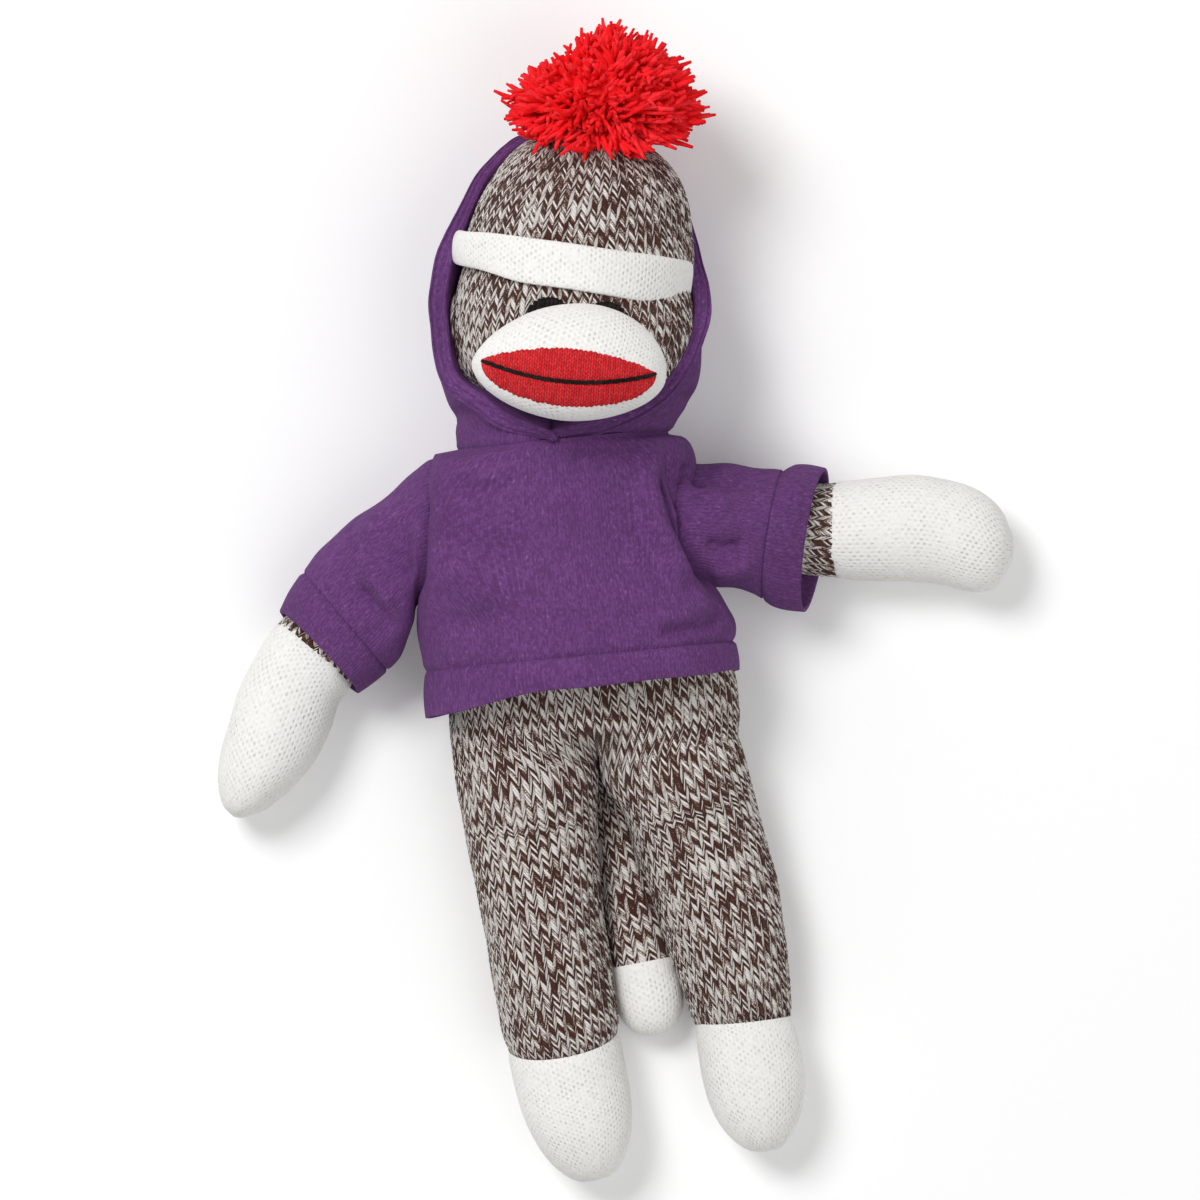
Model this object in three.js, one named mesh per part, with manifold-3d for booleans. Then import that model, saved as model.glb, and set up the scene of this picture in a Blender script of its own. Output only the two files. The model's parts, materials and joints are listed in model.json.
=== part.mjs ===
// A knitted plush monkey in a hooded sweatshirt, lying on its back.
// Millimetres. +Z is up, out of the monkey's front. +Y points to its head and +X to its own left.
// The origin is on the surface that it lies on, under the middle of its chest.
import * as THREE from "three";
import { mergeVertices } from "three/addons/utils/BufferGeometryUtils.js";
import Module from "manifold-3d";

const wasm = await Module();
wasm.setup();

// Fabrics and clearances
const KNIT_WALL = 1.6;
const CLOTH_WALL = 1.6;
const HEM_WALL = 2.4;
const FIT_GAP = 0.4; // between one layer and the next
const SEAM_GAP = 0.4; // between two edges that are sewn together
const SOCKET_GAP = 0.8; // round the root of a limb that turns
const FLAT_DEPTH = 0.5; // how far a resting side is pressed flat

// Torso and its two seat lobes, which the legs turn on
const HIP_DROP = 60;
const HIP_SPREAD = 22.5;
const LOBE_RADIUS = 20.3;
const TORSO_LENGTH = 86;
const TORSO_HALF_WIDTH = 41.8;
const TORSO_HALF_DEPTH = 27.6;
const SEAT_HALF_WIDTH = 24;
const SEAT_HALF_DEPTH = 13;
const NECK_RADIUS = 14;
const NECK_FLARE = 4; // how much wider the shoulders already are just below the neck
const BELLY_DROP = 5; // how much lower the belly's middle lies than the chest's
const NECK_RISE = 36;
const CHEST_SHIFT = -2.5; // the chest lies a little to the monkey's right of its hips
const NECK_SHIFT = -1.5;

// Sweatshirt
const EASE = 0.8; // how loosely it sits on the chest
const HEM_LENGTH = 9.6;
const HEM_FLARE = 0.8;
const HEM_CLEARANCE = 3; // room above a raised leg
const NECKLINE_RADIUS = 32;
const HOOD_ROOM = 6.5; // from the top of the head to the top of the hood, past the cap
const HOOD_HALF_WIDTH = 41.8;
const HOOD_HALF_DEPTH = 40.2;
const HOOD_TIP = 32;
const HOOD_FRONT = 57; // height of the opening's edge at the chin
const HOOD_SLOPE = 23; // degrees that the opening leans back
const HOOD_HEM_LENGTH = 5.6;
const HOOD_HEM_PROUD = 0.6;

// Arms, sleeves and paws
const SHOULDER_RISE = 12;
const SHOULDER_SPREAD = 43;
const SHOULDER_HEIGHT = 30;
const SLEEVE_HEAD_RADIUS = 18.5;
const SLEEVE_HEAD_DEPTH = 12; // how far the sleeve reaches into the armhole
const CUFF_LENGTH = 9;
const CUFF_HALF_WIDTH = 18.2;
const ARM_LENGTH = 52;
const ARM_RADIUS = 13.8;
const ARM_ROOT_RADIUS = 9.5;
const PAW_LENGTH = 55;
const PAW_HALF_WIDTH = 15.4;
const PAW_HALF_DEPTH = 14.6;
const PAW_TIP = 17;

// Legs and feet
const LEG_LENGTH = 85;
const LEG_HALF_WIDTH = 19;
const LEG_HALF_DEPTH = 17.2;
const ANKLE_HALF_WIDTH = 16.4;
const ANKLE_HALF_DEPTH = 15.4;
const FOOT_LENGTH = 41;
const FOOT_HALF_WIDTH = 16.8;
const FOOT_HALF_DEPTH = 15.6;
const FOOT_TIP = 22;

// Tail
const TAIL_DROP = 56;
const TAIL_HEIGHT = 7.4;
const TAIL_ROOT_RADIUS = 5;
const TAIL_LENGTH = 68;
const TAIL_END_HALF_WIDTH = 10;
const TAIL_END_HALF_DEPTH = 8.8;
const TAIL_TIP_LENGTH = 22;
const TAIL_TIP = 12;

// Head
const HEAD_TILT = 10; // degrees that the head leans to the monkey's left
const HEAD_HEIGHT = 89.5;
const HEAD_HALF_WIDTH = 36;
const HEAD_HALF_DEPTH = 34;
const HEAD_TIP = 20;
const NECK_LENGTH = 5;
const NECK_THREAD_RADIUS = 1.2;

// Face
const MUZZLE_HALF_WIDTH = 29;
const MUZZLE_HALF_HEIGHT = 17.4;
const MUZZLE_HALF_DEPTH = 16;
const MUZZLE_RISE = 23.8;
const MUZZLE_REACH = 5.4; // from the face to the fattest part of the muzzle
const LIPS_HALF_WIDTH = 26;
const LIPS_CORNER_RISE = 21.2;
const LIPS_TOP_RISE = 27.4;
const LIPS_BOTTOM_RISE = 9.8;
const LIPS_WALL = 0.6;
const MOUTH_SAG = 4.5;
const MOUTH_YARN_RADIUS = 0.7;
const EYE_SPREAD = 10.7;
const EYE_RISE = 39.4;
const EYE_HALF_WIDTH = 4.6;
const EYE_HALF_HEIGHT = 4.2;
const EYE_WALL = 1.5;
const EAR_RISE = 33;
const EAR_HALF_HEIGHT = 8.5;
const EAR_HALF_DEPTH = 8;
const EAR_WALL = 2.2;

// Cap and pom-pom
const BRIM_RISE = 52.6;
const BRIM_LENGTH = 13.4;
const BRIM_WALL = 3.4;
const BRIM_TILT = 4;
const POM_HALF_WIDTH = 30;
const POM_HALF_HEIGHT = 20.5;
const POM_HALF_DEPTH = 26;
const POM_RISE = 12.8; // from the knot that it turns on to its middle
const POM_FORWARD = 6;
const POM_TUFTS = 0.09;
const KNOT_RADIUS = 2.2;

// How each limb lies. Headings are degrees at its root and its end.
// An arm's lowest is how many degrees it can still drop.
// The left arm is pushed further into its shoulder than the right one, so its sleeve is bunched up and shorter.
const LEFT_ARM_TUCK = 12;
const RIGHT_ARM_TUCK = 2;
const LEFT_SLEEVE_LENGTH = 36;
const RIGHT_SLEEVE_LENGTH = 48;
const ARM_POSES = {
  left: { side: 1, start: -17, end: -8, push: LEFT_ARM_TUCK, sleeve: LEFT_SLEEVE_LENGTH, lowest: -38 },
  right: { side: -1, start: -38, end: -66, push: RIGHT_ARM_TUCK, sleeve: RIGHT_SLEEVE_LENGTH, lowest: -15 },
};
const LEG_POSES = {
  left: { side: 1, start: 13, end: 2 },
  right: { side: -1, start: 0, end: -8 },
};
const TAIL_HEADINGS = { start: 7, end: 5 };

// Mesh fineness
const LIMB_SIDES = 12;
const BODY_SIDES = 16;
const BALL_SIDES = 16;
const BALL_RINGS = 10;

const COLOURS = {
  marl: 0x8a7674,
  white: 0xf1efe9,
  purple: 0x4d2a6c,
  red: 0xd3202a,
  black: 0x1c191b,
  fill: 0xf4f2ec,
};
const MATERIALS = Object.fromEntries(
  Object.entries(COLOURS).map(([name, color]) => [
    name,
    new THREE.MeshStandardMaterial({ color, roughness: 0.95, metalness: 0 }),
  ]),
);

const { degToRad, lerp, smoothstep, clamp } = THREE.MathUtils;
const vec = (x, y, z) => new THREE.Vector3(x, y, z);

// Solids

function solidOf(geometry) {
  const bare = new THREE.BufferGeometry().setAttribute("position", geometry.getAttribute("position").clone());
  if (geometry.index) bare.setIndex(geometry.index.clone());
  const merged = mergeVertices(bare, 1e-4);
  return new wasm.Manifold(
    new wasm.Mesh({
      numProp: 3,
      vertProperties: merged.attributes.position.array,
      triVerts: new Uint32Array(merged.index.array),
    }),
  );
}

function geometryOf(solid) {
  const mesh = solid.getMesh();
  return new THREE.BufferGeometry()
    .setAttribute("position", new THREE.BufferAttribute(mesh.vertProperties, 3))
    .setIndex(new THREE.BufferAttribute(mesh.triVerts, 1));
}

function piece(parent, name, solid, material) {
  const mesh = new THREE.Mesh(geometryOf(solid), MATERIALS[material]);
  mesh.geometry.computeVertexNormals();
  mesh.name = name;
  parent.add(mesh);
}

const less = (solid, ...cutters) => cutters.reduce((left, cutter) => left.subtract(cutter), solid);

function ball(centre, radius, stretch = vec(1, 1, 1), coarse = 1) {
  const sides = Math.round(BALL_SIDES / coarse);
  const geometry = new THREE.SphereGeometry(radius, sides, Math.round(BALL_RINGS / coarse));
  return solidOf(geometry.scale(stretch.x, stretch.y, stretch.z).translate(centre.x, centre.y, centre.z));
}

// A block that fills everything on the far side of a plane through a point, along a direction
function beyond(point, direction, thickness = 400) {
  const block = new THREE.BoxGeometry(800, 800, thickness).translate(0, 0, thickness / 2);
  const turn = new THREE.Quaternion().setFromUnitVectors(vec(0, 0, 1), direction.clone().normalize());
  return solidOf(block.applyQuaternion(turn).translate(point.x, point.y, point.z));
}

const FLOOR = beyond(vec(0, 0, 0), vec(0, 0, -1));

// Stuffed forms: rows of [distance along it, half width, half depth] round a spine.
// An upright form's rows go on with [centre's X, centre's height], and its rings all face along +Y.

function through(rows, x, column) {
  const last = rows.length - 1;
  let i = 0;
  while (i < last - 1 && x > rows[i + 1][0]) i++;
  const slope = (k) => {
    const before = rows[Math.max(k - 1, 0)];
    const after = rows[Math.min(k + 1, last)];
    return (after[column] - before[column]) / (after[0] - before[0]);
  };
  const span = rows[i + 1][0] - rows[i][0];
  const t = clamp((x - rows[i][0]) / span, 0, 1);
  const rest = 1 - t;
  return (
    rows[i][column] * rest * rest * (1 + 2 * t) +
    rows[i + 1][column] * t * t * (3 - 2 * t) +
    span * t * rest * (slope(i) * rest - slope(i + 1) * t)
  );
}

function uprightForm(form) {
  form.place = (distance) => ({
    centre: vec(through(form.rows, distance, 3), form.base + distance, through(form.rows, distance, 4)),
    forward: vec(0, 1, 0),
  });
  return form;
}

function laidForm(form) {
  form.length = form.spine.getLength();
  form.place = (distance) => {
    const share = clamp(distance / form.length, 0, 1);
    const forward = form.spine.getTangentAt(share);
    const centre = form.spine.getPointAt(share).addScaledVector(forward, Math.max(distance - form.length, 0));
    return { centre, forward };
  };
  return form;
}

// The ring of points round a form at a distance along it, with its surface moved in by inset
function ringAt(form, distance, inset, shrink) {
  const { centre, forward } = form.place(distance);
  const up = vec(0, 0, 1).addScaledVector(forward, -forward.z).normalize();
  const side = forward.clone().cross(up);
  const halfWidth = (through(form.rows, distance, 1) - inset) * shrink;
  const halfDepth = (through(form.rows, distance, 2) - inset) * shrink;
  return Array.from({ length: form.sides }, (_, i) => {
    const angle = (2 * Math.PI * i) / form.sides;
    return centre
      .clone()
      .addScaledVector(side, halfWidth * Math.cos(angle))
      .addScaledVector(up, halfDepth * Math.sin(angle));
  });
}

// The distances of a form's facets: its rows, and even steps between rows that are far apart
function stationsOf(form, end) {
  const marks = [0, ...form.rows.map((row) => row[0]).filter((d) => d > 0 && d < end - form.step / 3), end];
  return marks.flatMap((mark, i) => {
    const from = i ? marks[i - 1] : mark;
    const steps = Math.max(1, Math.round((mark - from) / form.step));
    return Array.from({ length: steps }, (_, k) => lerp(from, mark, (k + 1) / steps));
  });
}

// Rings from one distance to another.
// Every depth of a form has its facets at the same stations, so layers nest.
// Past the start of the form's rounded tip the rings close like a dome.
function rings(form, inset, from, to = form.length - inset) {
  const dome = form.length - (form.tip ?? 0);
  const stations = stationsOf(form, dome);
  const straightEnd = Math.min(to, dome);
  const between = stations.filter((d) => d > from + SEAM_GAP && d < straightEnd - SEAM_GAP);
  const made = [from, ...between, straightEnd].map((distance) => {
    const found = stations.findIndex((d) => d >= distance);
    const after = found < 0 ? stations.length - 1 : Math.max(found, 1);
    const [a, b] = [stations[after - 1], stations[after]];
    const [first, next] = [a, b].map((d) => ringAt(form, d, inset, 1));
    return first.map((point, i) => point.lerp(next[i], (distance - a) / (b - a)));
  });
  const domeLength = (form.tip ?? 0) - inset;
  const domeSteps = to > dome ? 4 : 0;
  for (let i = 1; i < domeSteps; i++) {
    const angle = (i / domeSteps) * (Math.PI / 2);
    made.push(ringAt(form, dome + domeLength * Math.sin(angle), inset, Math.cos(angle)));
  }
  const end = form.place(form.length);
  const pole = end.centre.addScaledVector(end.forward, -inset);
  return { made, pole: domeSteps ? pole : null };
}

const middle = (ring) => ring.reduce((sum, p) => sum.add(p), vec(0, 0, 0)).divideScalar(ring.length);

// One closed surface over a run of rings. Its two ends close on a point each, or join each other.
function loft(run, firstPoint, lastPoint) {
  const sides = run[0].length;
  const points = run.flat();
  const faces = [];
  const joints = firstPoint ? run.length - 1 : run.length;
  for (let r = 0; r < joints; r++) {
    const a = r * sides;
    const b = ((r + 1) % run.length) * sides;
    for (let i = 0; i < sides; i++) {
      const j = (i + 1) % sides;
      faces.push([a + i, b + i, b + j], [a + i, b + j, a + j]);
    }
  }
  if (firstPoint) {
    const first = points.push(firstPoint) - 1;
    const last = points.push(lastPoint) - 1;
    const end = (run.length - 1) * sides;
    for (let i = 0; i < sides; i++) {
      const j = (i + 1) % sides;
      faces.push([first, i, j], [end + i, last, end + j]);
    }
  }
  const volume = faces.reduce((sum, [a, b, c]) => sum + points[a].dot(points[b].clone().cross(points[c])), 0);
  const index = faces.flatMap(([a, b, c]) => (volume > 0 ? [a, b, c] : [a, c, b]));
  const geometry = new THREE.BufferGeometry().setFromPoints(points).setIndex(index);
  return solidOf(geometry);
}

function solidForm(form, inset = 0, from = 0, to = undefined) {
  const { made, pole } = rings(form, inset, from, to);
  return loft(made, middle(made[0]), pole ?? middle(made.at(-1)));
}

// The skin between two depths of a form: a cup where it has a rounded tip, or else an open tube
function skinForm(form, outer, inner, from = 0, to = undefined) {
  const outside = rings(form, outer, from, to);
  const inside = rings(form, inner, from, to);
  return loft([...outside.made.reverse(), ...inside.made], outside.pole, inside.pole);
}

// A spine on the surface that the toy lies on: its heading turns steadily from start to end
function layingSpine({ root, back, length, start, end, forward, side, height }) {
  const points = [];
  const steps = 12;
  const heading = (s) => degToRad(lerp(start, end, clamp(s / (length - back), 0, 1)));
  const along = (angle) => {
    const ahead = forward.clone().multiplyScalar(Math.cos(angle));
    return ahead.addScaledVector(side, Math.sin(angle));
  };
  const point = root.clone().addScaledVector(along(heading(0)), -back);
  for (let i = 0; i <= steps; i++) {
    const s = (i / steps) * length - back;
    points.push(vec(point.x, point.y, height(Math.max(s, 0))));
    point.addScaledVector(along(heading(s + length / steps / 2)), length / steps);
  }
  return new THREE.CatmullRomCurve3(points);
}

const monkey = new THREE.Group();
monkey.name = "plush_monkey";

// Torso

const hoodieHalfWidth = TORSO_HALF_WIDTH + FIT_GAP + EASE + CLOTH_WALL;
const hoodieHalfDepth = TORSO_HALF_DEPTH + FIT_GAP + EASE + CLOTH_WALL;
const chestHeight = hoodieHalfDepth - FLAT_DEPTH;
const seatHeight = LOBE_RADIUS - FLAT_DEPTH;
const necklineHeight = NECKLINE_RADIUS - FLAT_DEPTH;
const torsoBottom = NECK_RISE - TORSO_LENGTH;
const hips = { left: vec(HIP_SPREAD, -HIP_DROP, seatHeight), right: vec(-HIP_SPREAD, -HIP_DROP, seatHeight) };
const shoulderAt = (side) => vec(CHEST_SHIFT + side * SHOULDER_SPREAD, SHOULDER_RISE, SHOULDER_HEIGHT);
const tailRoot = vec(0, -TAIL_DROP, TAIL_HEIGHT);

const bellyHeight = chestHeight - BELLY_DROP;
const torso = uprightForm({
  base: torsoBottom,
  length: 1.04 * TORSO_LENGTH, // its neck runs on past the plane that it is cut at
  rows: [
    [0, SEAT_HALF_WIDTH, SEAT_HALF_DEPTH, 0, seatHeight],
    [0.1 * TORSO_LENGTH, 0.91 * TORSO_HALF_WIDTH, 0.78 * TORSO_HALF_DEPTH, 0.4 * CHEST_SHIFT, bellyHeight],
    [0.21 * TORSO_LENGTH, TORSO_HALF_WIDTH, 0.98 * TORSO_HALF_DEPTH, CHEST_SHIFT, chestHeight],
    [0.35 * TORSO_LENGTH, 0.95 * TORSO_HALF_WIDTH, TORSO_HALF_DEPTH, CHEST_SHIFT, chestHeight],
    [0.58 * TORSO_LENGTH, 0.79 * TORSO_HALF_WIDTH, 0.98 * TORSO_HALF_DEPTH, CHEST_SHIFT, chestHeight],
    [0.78 * TORSO_LENGTH, 0.68 * TORSO_HALF_WIDTH, 0.9 * TORSO_HALF_DEPTH, CHEST_SHIFT, chestHeight],
    [0.92 * TORSO_LENGTH, NECK_RADIUS + NECK_FLARE, NECK_RADIUS + NECK_FLARE, NECK_SHIFT, necklineHeight],
    [1.04 * TORSO_LENGTH, NECK_RADIUS, NECK_RADIUS, NECK_SHIFT, necklineHeight],
  ],
  sides: BODY_SIDES,
  step: 13,
});

// Head frame: its own X and Y lean with the head, and its Z is the toy's
const head = new THREE.Group();
head.position.set(NECK_SHIFT, NECK_RISE, 0);
head.rotation.z = degToRad(-HEAD_TILT);
head.updateMatrix();
const neckPoint = vec(NECK_SHIFT, NECK_RISE, 0);
const headUp = vec(0, 1, 0).transformDirection(head.matrix);
const aboveNeck = beyond(neckPoint.clone().addScaledVector(headUp, -SEAM_GAP / 2), headUp);

// Arms

// Everything about one arm that the torso and sweatshirt have to make room for
function armForms({ side, start, end, push, sleeve }) {
  const shoulder = shoulderAt(side);
  const length = ARM_LENGTH + PAW_LENGTH;
  const pawHeight = PAW_HALF_DEPTH - FLAT_DEPTH;
  const spine = layingSpine({
    root: shoulder,
    back: push,
    length,
    start,
    end,
    forward: vec(side, 0, 0),
    side: vec(0, 1, 0),
    height: (s) => lerp(SHOULDER_HEIGHT, pawHeight, smoothstep(s, 0, sleeve + CUFF_HALF_WIDTH)),
  });
  const arm = laidForm({
    spine,
    tip: PAW_TIP,
    rows: [
      [0, ARM_ROOT_RADIUS, ARM_ROOT_RADIUS],
      [0.35 * ARM_LENGTH, ARM_RADIUS, ARM_RADIUS],
      [ARM_LENGTH, ARM_RADIUS, ARM_RADIUS],
      [ARM_LENGTH + 0.4 * PAW_LENGTH, PAW_HALF_WIDTH, PAW_HALF_DEPTH],
      [length, PAW_HALF_WIDTH, PAW_HALF_DEPTH],
    ],
    sides: LIMB_SIDES,
    step: 13,
  });
  const sleeveRadius = ARM_RADIUS + FIT_GAP + EASE + CLOTH_WALL;
  const cuffRadius = CUFF_HALF_WIDTH - HEM_WALL + CLOTH_WALL;
  const sleeveEnd = push + sleeve - CUFF_LENGTH;
  const tube = laidForm({
    spine,
    tip: PAW_TIP,
    rows: [
      [0, sleeveRadius, sleeveRadius],
      [sleeveEnd - CUFF_LENGTH, sleeveRadius, sleeveRadius],
      [sleeveEnd, cuffRadius, cuffRadius],
      [push + sleeve, cuffRadius, cuffRadius],
    ],
    sides: LIMB_SIDES,
    step: 13,
  });
  return { arm, tube, shoulder, push, sleeveEnd, sleeve, armRoot: spine.getTangentAt(push / arm.length) };
}

// The room that a sleeve sweeps as its arm is lowered beside the chest
function sleeveSweep({ tube, shoulder, push, sleeveEnd }, { side, lowest }) {
  const steps = 2;
  const around = new THREE.Matrix4().makeTranslation(shoulder);
  const back = new THREE.Matrix4().makeTranslation(shoulder.clone().negate());
  const swept = [];
  const full = solidForm(tube, -SOCKET_GAP, push, sleeveEnd);
  for (let i = 0; i <= steps; i++) {
    const turn = new THREE.Matrix4().makeRotationZ(degToRad((side * lowest * i) / steps));
    const placed = geometryOf(full).applyMatrix4(around.clone().multiply(turn).multiply(back));
    swept.push(solidOf(placed));
  }
  return swept;
}

const arms = Object.fromEntries(Object.entries(ARM_POSES).map(([name, pose]) => [name, armForms(pose)]));
const sockets = Object.values(arms).map(({ shoulder }) => ball(shoulder, SLEEVE_HEAD_RADIUS + SOCKET_GAP));
const sweeps = Object.entries(arms).flatMap(([name, forms]) => sleeveSweep(forms, ARM_POSES[name]));

function addArm(name, { arm, tube, shoulder, push, sleeveEnd, sleeve, armRoot }) {
  const seam = ARM_LENGTH - SEAM_GAP / 2;
  const skin = skinForm(arm, 0, KNIT_WALL, 0, seam);
  const paw = skinForm(arm, 0, KNIT_WALL, ARM_LENGTH + SEAM_GAP / 2);
  piece(monkey, `arm_skin_${name}`, less(skin, FLOOR), "marl");
  piece(monkey, `paw_${name}`, less(paw, FLOOR), "white");
  piece(monkey, `arm_fill_${name}`, solidForm(arm, KNIT_WALL + FIT_GAP, FIT_GAP), "fill");

  const armhole = shoulder.clone().addScaledVector(armRoot, -SLEEVE_HEAD_DEPTH);
  const inward = beyond(armhole, armRoot.clone().negate());
  const sleeveHead = (inset) => ball(shoulder, SLEEVE_HEAD_RADIUS - inset, vec(1, 1, 1), 4 / 3);
  const outer = sleeveHead(0).add(solidForm(tube, 0, push, sleeveEnd));
  const reach = sleeveEnd + CLOTH_WALL; // the hollow runs out through the sleeve's end
  const inner = sleeveHead(CLOTH_WALL).add(solidForm(tube, CLOTH_WALL, push, reach));
  piece(monkey, `sleeve_${name}`, less(outer, inner, inward, FLOOR), "purple");
  const proud = HEM_WALL - CLOTH_WALL;
  const cuff = skinForm(tube, -proud, CLOTH_WALL, sleeveEnd + SEAM_GAP, push + sleeve);
  piece(monkey, `cuff_${name}`, less(cuff, FLOOR), "purple");
}

// Torso pieces

const lobes = (radius) => Object.values(hips).map((hip) => ball(hip, radius, vec(1, 1, 1), 4 / 3));
const torsoAt = (inset) => {
  const [left, right] = lobes(LOBE_RADIUS - inset);
  return solidForm(torso, inset, inset, torso.length).add(left).add(right);
};
const tailSocket = ball(tailRoot, TAIL_ROOT_RADIUS + SOCKET_GAP);
const torsoSkin = less(torsoAt(0), torsoAt(KNIT_WALL), aboveNeck, tailSocket, FLOOR, ...sockets);
piece(monkey, "torso_skin", torsoSkin, "marl");
const belowNeck = beyond(neckPoint.clone().addScaledVector(headUp, -FIT_GAP), headUp);
const torsoFill = less(torsoAt(KNIT_WALL + FIT_GAP), belowNeck, tailSocket, ...sockets);
piece(monkey, "torso_fill", torsoFill, "fill");

// Sweatshirt body and its bottom hem

const hemBottom = LEG_HALF_DEPTH + HEM_CLEARANCE - HIP_DROP;
const bodyBottom = hemBottom + HEM_LENGTH;
const bodyLength = NECK_RISE - bodyBottom;
const tiltRise = NECKLINE_RADIUS * Math.sin(degToRad(HEAD_TILT));
const hoodie = uprightForm({
  base: bodyBottom,
  length: bodyLength + tiltRise,
  rows: [
    [0, hoodieHalfWidth, hoodieHalfDepth, CHEST_SHIFT, chestHeight],
    [0.5 * bodyLength, hoodieHalfWidth, hoodieHalfDepth, CHEST_SHIFT, chestHeight],
    [0.74 * bodyLength, lerp(hoodieHalfWidth, NECKLINE_RADIUS, 0.3), hoodieHalfDepth, CHEST_SHIFT, chestHeight],
    [0.92 * bodyLength, NECKLINE_RADIUS + CLOTH_WALL, NECKLINE_RADIUS, NECK_SHIFT, necklineHeight],
    [bodyLength + tiltRise, NECKLINE_RADIUS, NECKLINE_RADIUS, NECK_SHIFT, necklineHeight],
  ],
  sides: BODY_SIDES,
  step: 13,
});
const hoodieTube = skinForm(hoodie, 0, CLOTH_WALL, 0, hoodie.length);
const hoodieBody = less(hoodieTube, aboveNeck, FLOOR, ...sockets, ...sweeps);
piece(monkey, "hoodie_body", hoodieBody, "purple");

const hemProud = HEM_WALL - CLOTH_WALL;
const hemRow = [hoodieHalfDepth + hemProud, CHEST_SHIFT, chestHeight + hemProud];
const hem = uprightForm({
  base: hemBottom,
  length: HEM_LENGTH - SEAM_GAP,
  rows: [
    [0, hoodieHalfWidth + hemProud + HEM_FLARE, ...hemRow],
    [HEM_LENGTH, hoodieHalfWidth + hemProud, ...hemRow],
  ],
  sides: BODY_SIDES,
  step: HEM_LENGTH,
});
piece(monkey, "hoodie_hem", less(skinForm(hem, 0, HEM_WALL, 0, hem.length), FLOOR), "purple");

for (const [name, forms] of Object.entries(arms)) addArm(name, forms);

// Legs

function addLeg(name, { side, start, end }) {
  const hip = hips[name];
  const length = LEG_LENGTH + FOOT_LENGTH;
  const rows = [
    [0, LEG_HALF_WIDTH, LEG_HALF_DEPTH],
    [0.3 * LEG_LENGTH, LEG_HALF_WIDTH, LEG_HALF_DEPTH],
    [LEG_LENGTH, ANKLE_HALF_WIDTH, ANKLE_HALF_DEPTH],
    [LEG_LENGTH + 0.4 * FOOT_LENGTH, FOOT_HALF_WIDTH, FOOT_HALF_DEPTH],
    [length, FOOT_HALF_WIDTH, FOOT_HALF_DEPTH],
  ];
  const lie = (s) => through(rows, s, 2) - FLAT_DEPTH;
  const spine = layingSpine({
    root: hip,
    back: 0,
    length,
    start,
    end,
    forward: vec(0, -1, 0),
    side: vec(side, 0, 0),
    height: (s) => lerp(hip.z, lie(s), smoothstep(s, 0, LOBE_RADIUS)),
  });
  const leg = laidForm({ spine, tip: FOOT_TIP, rows, sides: LIMB_SIDES, step: 16 });
  const socket = ball(hip, LOBE_RADIUS + SOCKET_GAP);
  const skin = skinForm(leg, 0, KNIT_WALL, 0, LEG_LENGTH - SEAM_GAP / 2);
  piece(monkey, `leg_skin_${name}`, less(skin, socket, FLOOR), "marl");
  const foot = skinForm(leg, 0, KNIT_WALL, LEG_LENGTH + SEAM_GAP / 2);
  piece(monkey, `foot_${name}`, less(foot, FLOOR), "white");
  piece(monkey, `leg_fill_${name}`, less(solidForm(leg, KNIT_WALL + FIT_GAP, 0), socket), "fill");
}

for (const [name, pose] of Object.entries(LEG_POSES)) addLeg(name, pose);

// Tail

function addTail() {
  const length = TAIL_LENGTH + TAIL_TIP_LENGTH;
  const rows = [
    [0, TAIL_ROOT_RADIUS, TAIL_ROOT_RADIUS],
    [0.25 * TAIL_LENGTH, lerp(TAIL_ROOT_RADIUS, TAIL_END_HALF_WIDTH, 0.2), TAIL_ROOT_RADIUS],
    [TAIL_LENGTH, TAIL_END_HALF_WIDTH, TAIL_END_HALF_DEPTH],
    [length, TAIL_END_HALF_WIDTH, TAIL_END_HALF_DEPTH],
  ];
  const spine = layingSpine({
    root: tailRoot,
    back: 0,
    length,
    ...TAIL_HEADINGS,
    forward: vec(0, -1, 0),
    side: vec(1, 0, 0),
    height: (s) => lerp(TAIL_HEIGHT, through(rows, s, 2) - FLAT_DEPTH, smoothstep(s, 0, LOBE_RADIUS)),
  });
  const tail = laidForm({ spine, tip: TAIL_TIP, rows, sides: LIMB_SIDES, step: 16 });
  const skin = skinForm(tail, 0, KNIT_WALL, 0, TAIL_LENGTH - SEAM_GAP / 2);
  piece(monkey, "tail_skin", less(skin, FLOOR), "marl");
  piece(monkey, "tail_tip", less(skinForm(tail, 0, KNIT_WALL, TAIL_LENGTH + SEAM_GAP / 2), FLOOR), "white");
  piece(monkey, "tail_fill", solidForm(tail, KNIT_WALL + FIT_GAP, FIT_GAP), "fill");
}
addTail();

// Head and neck

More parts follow.
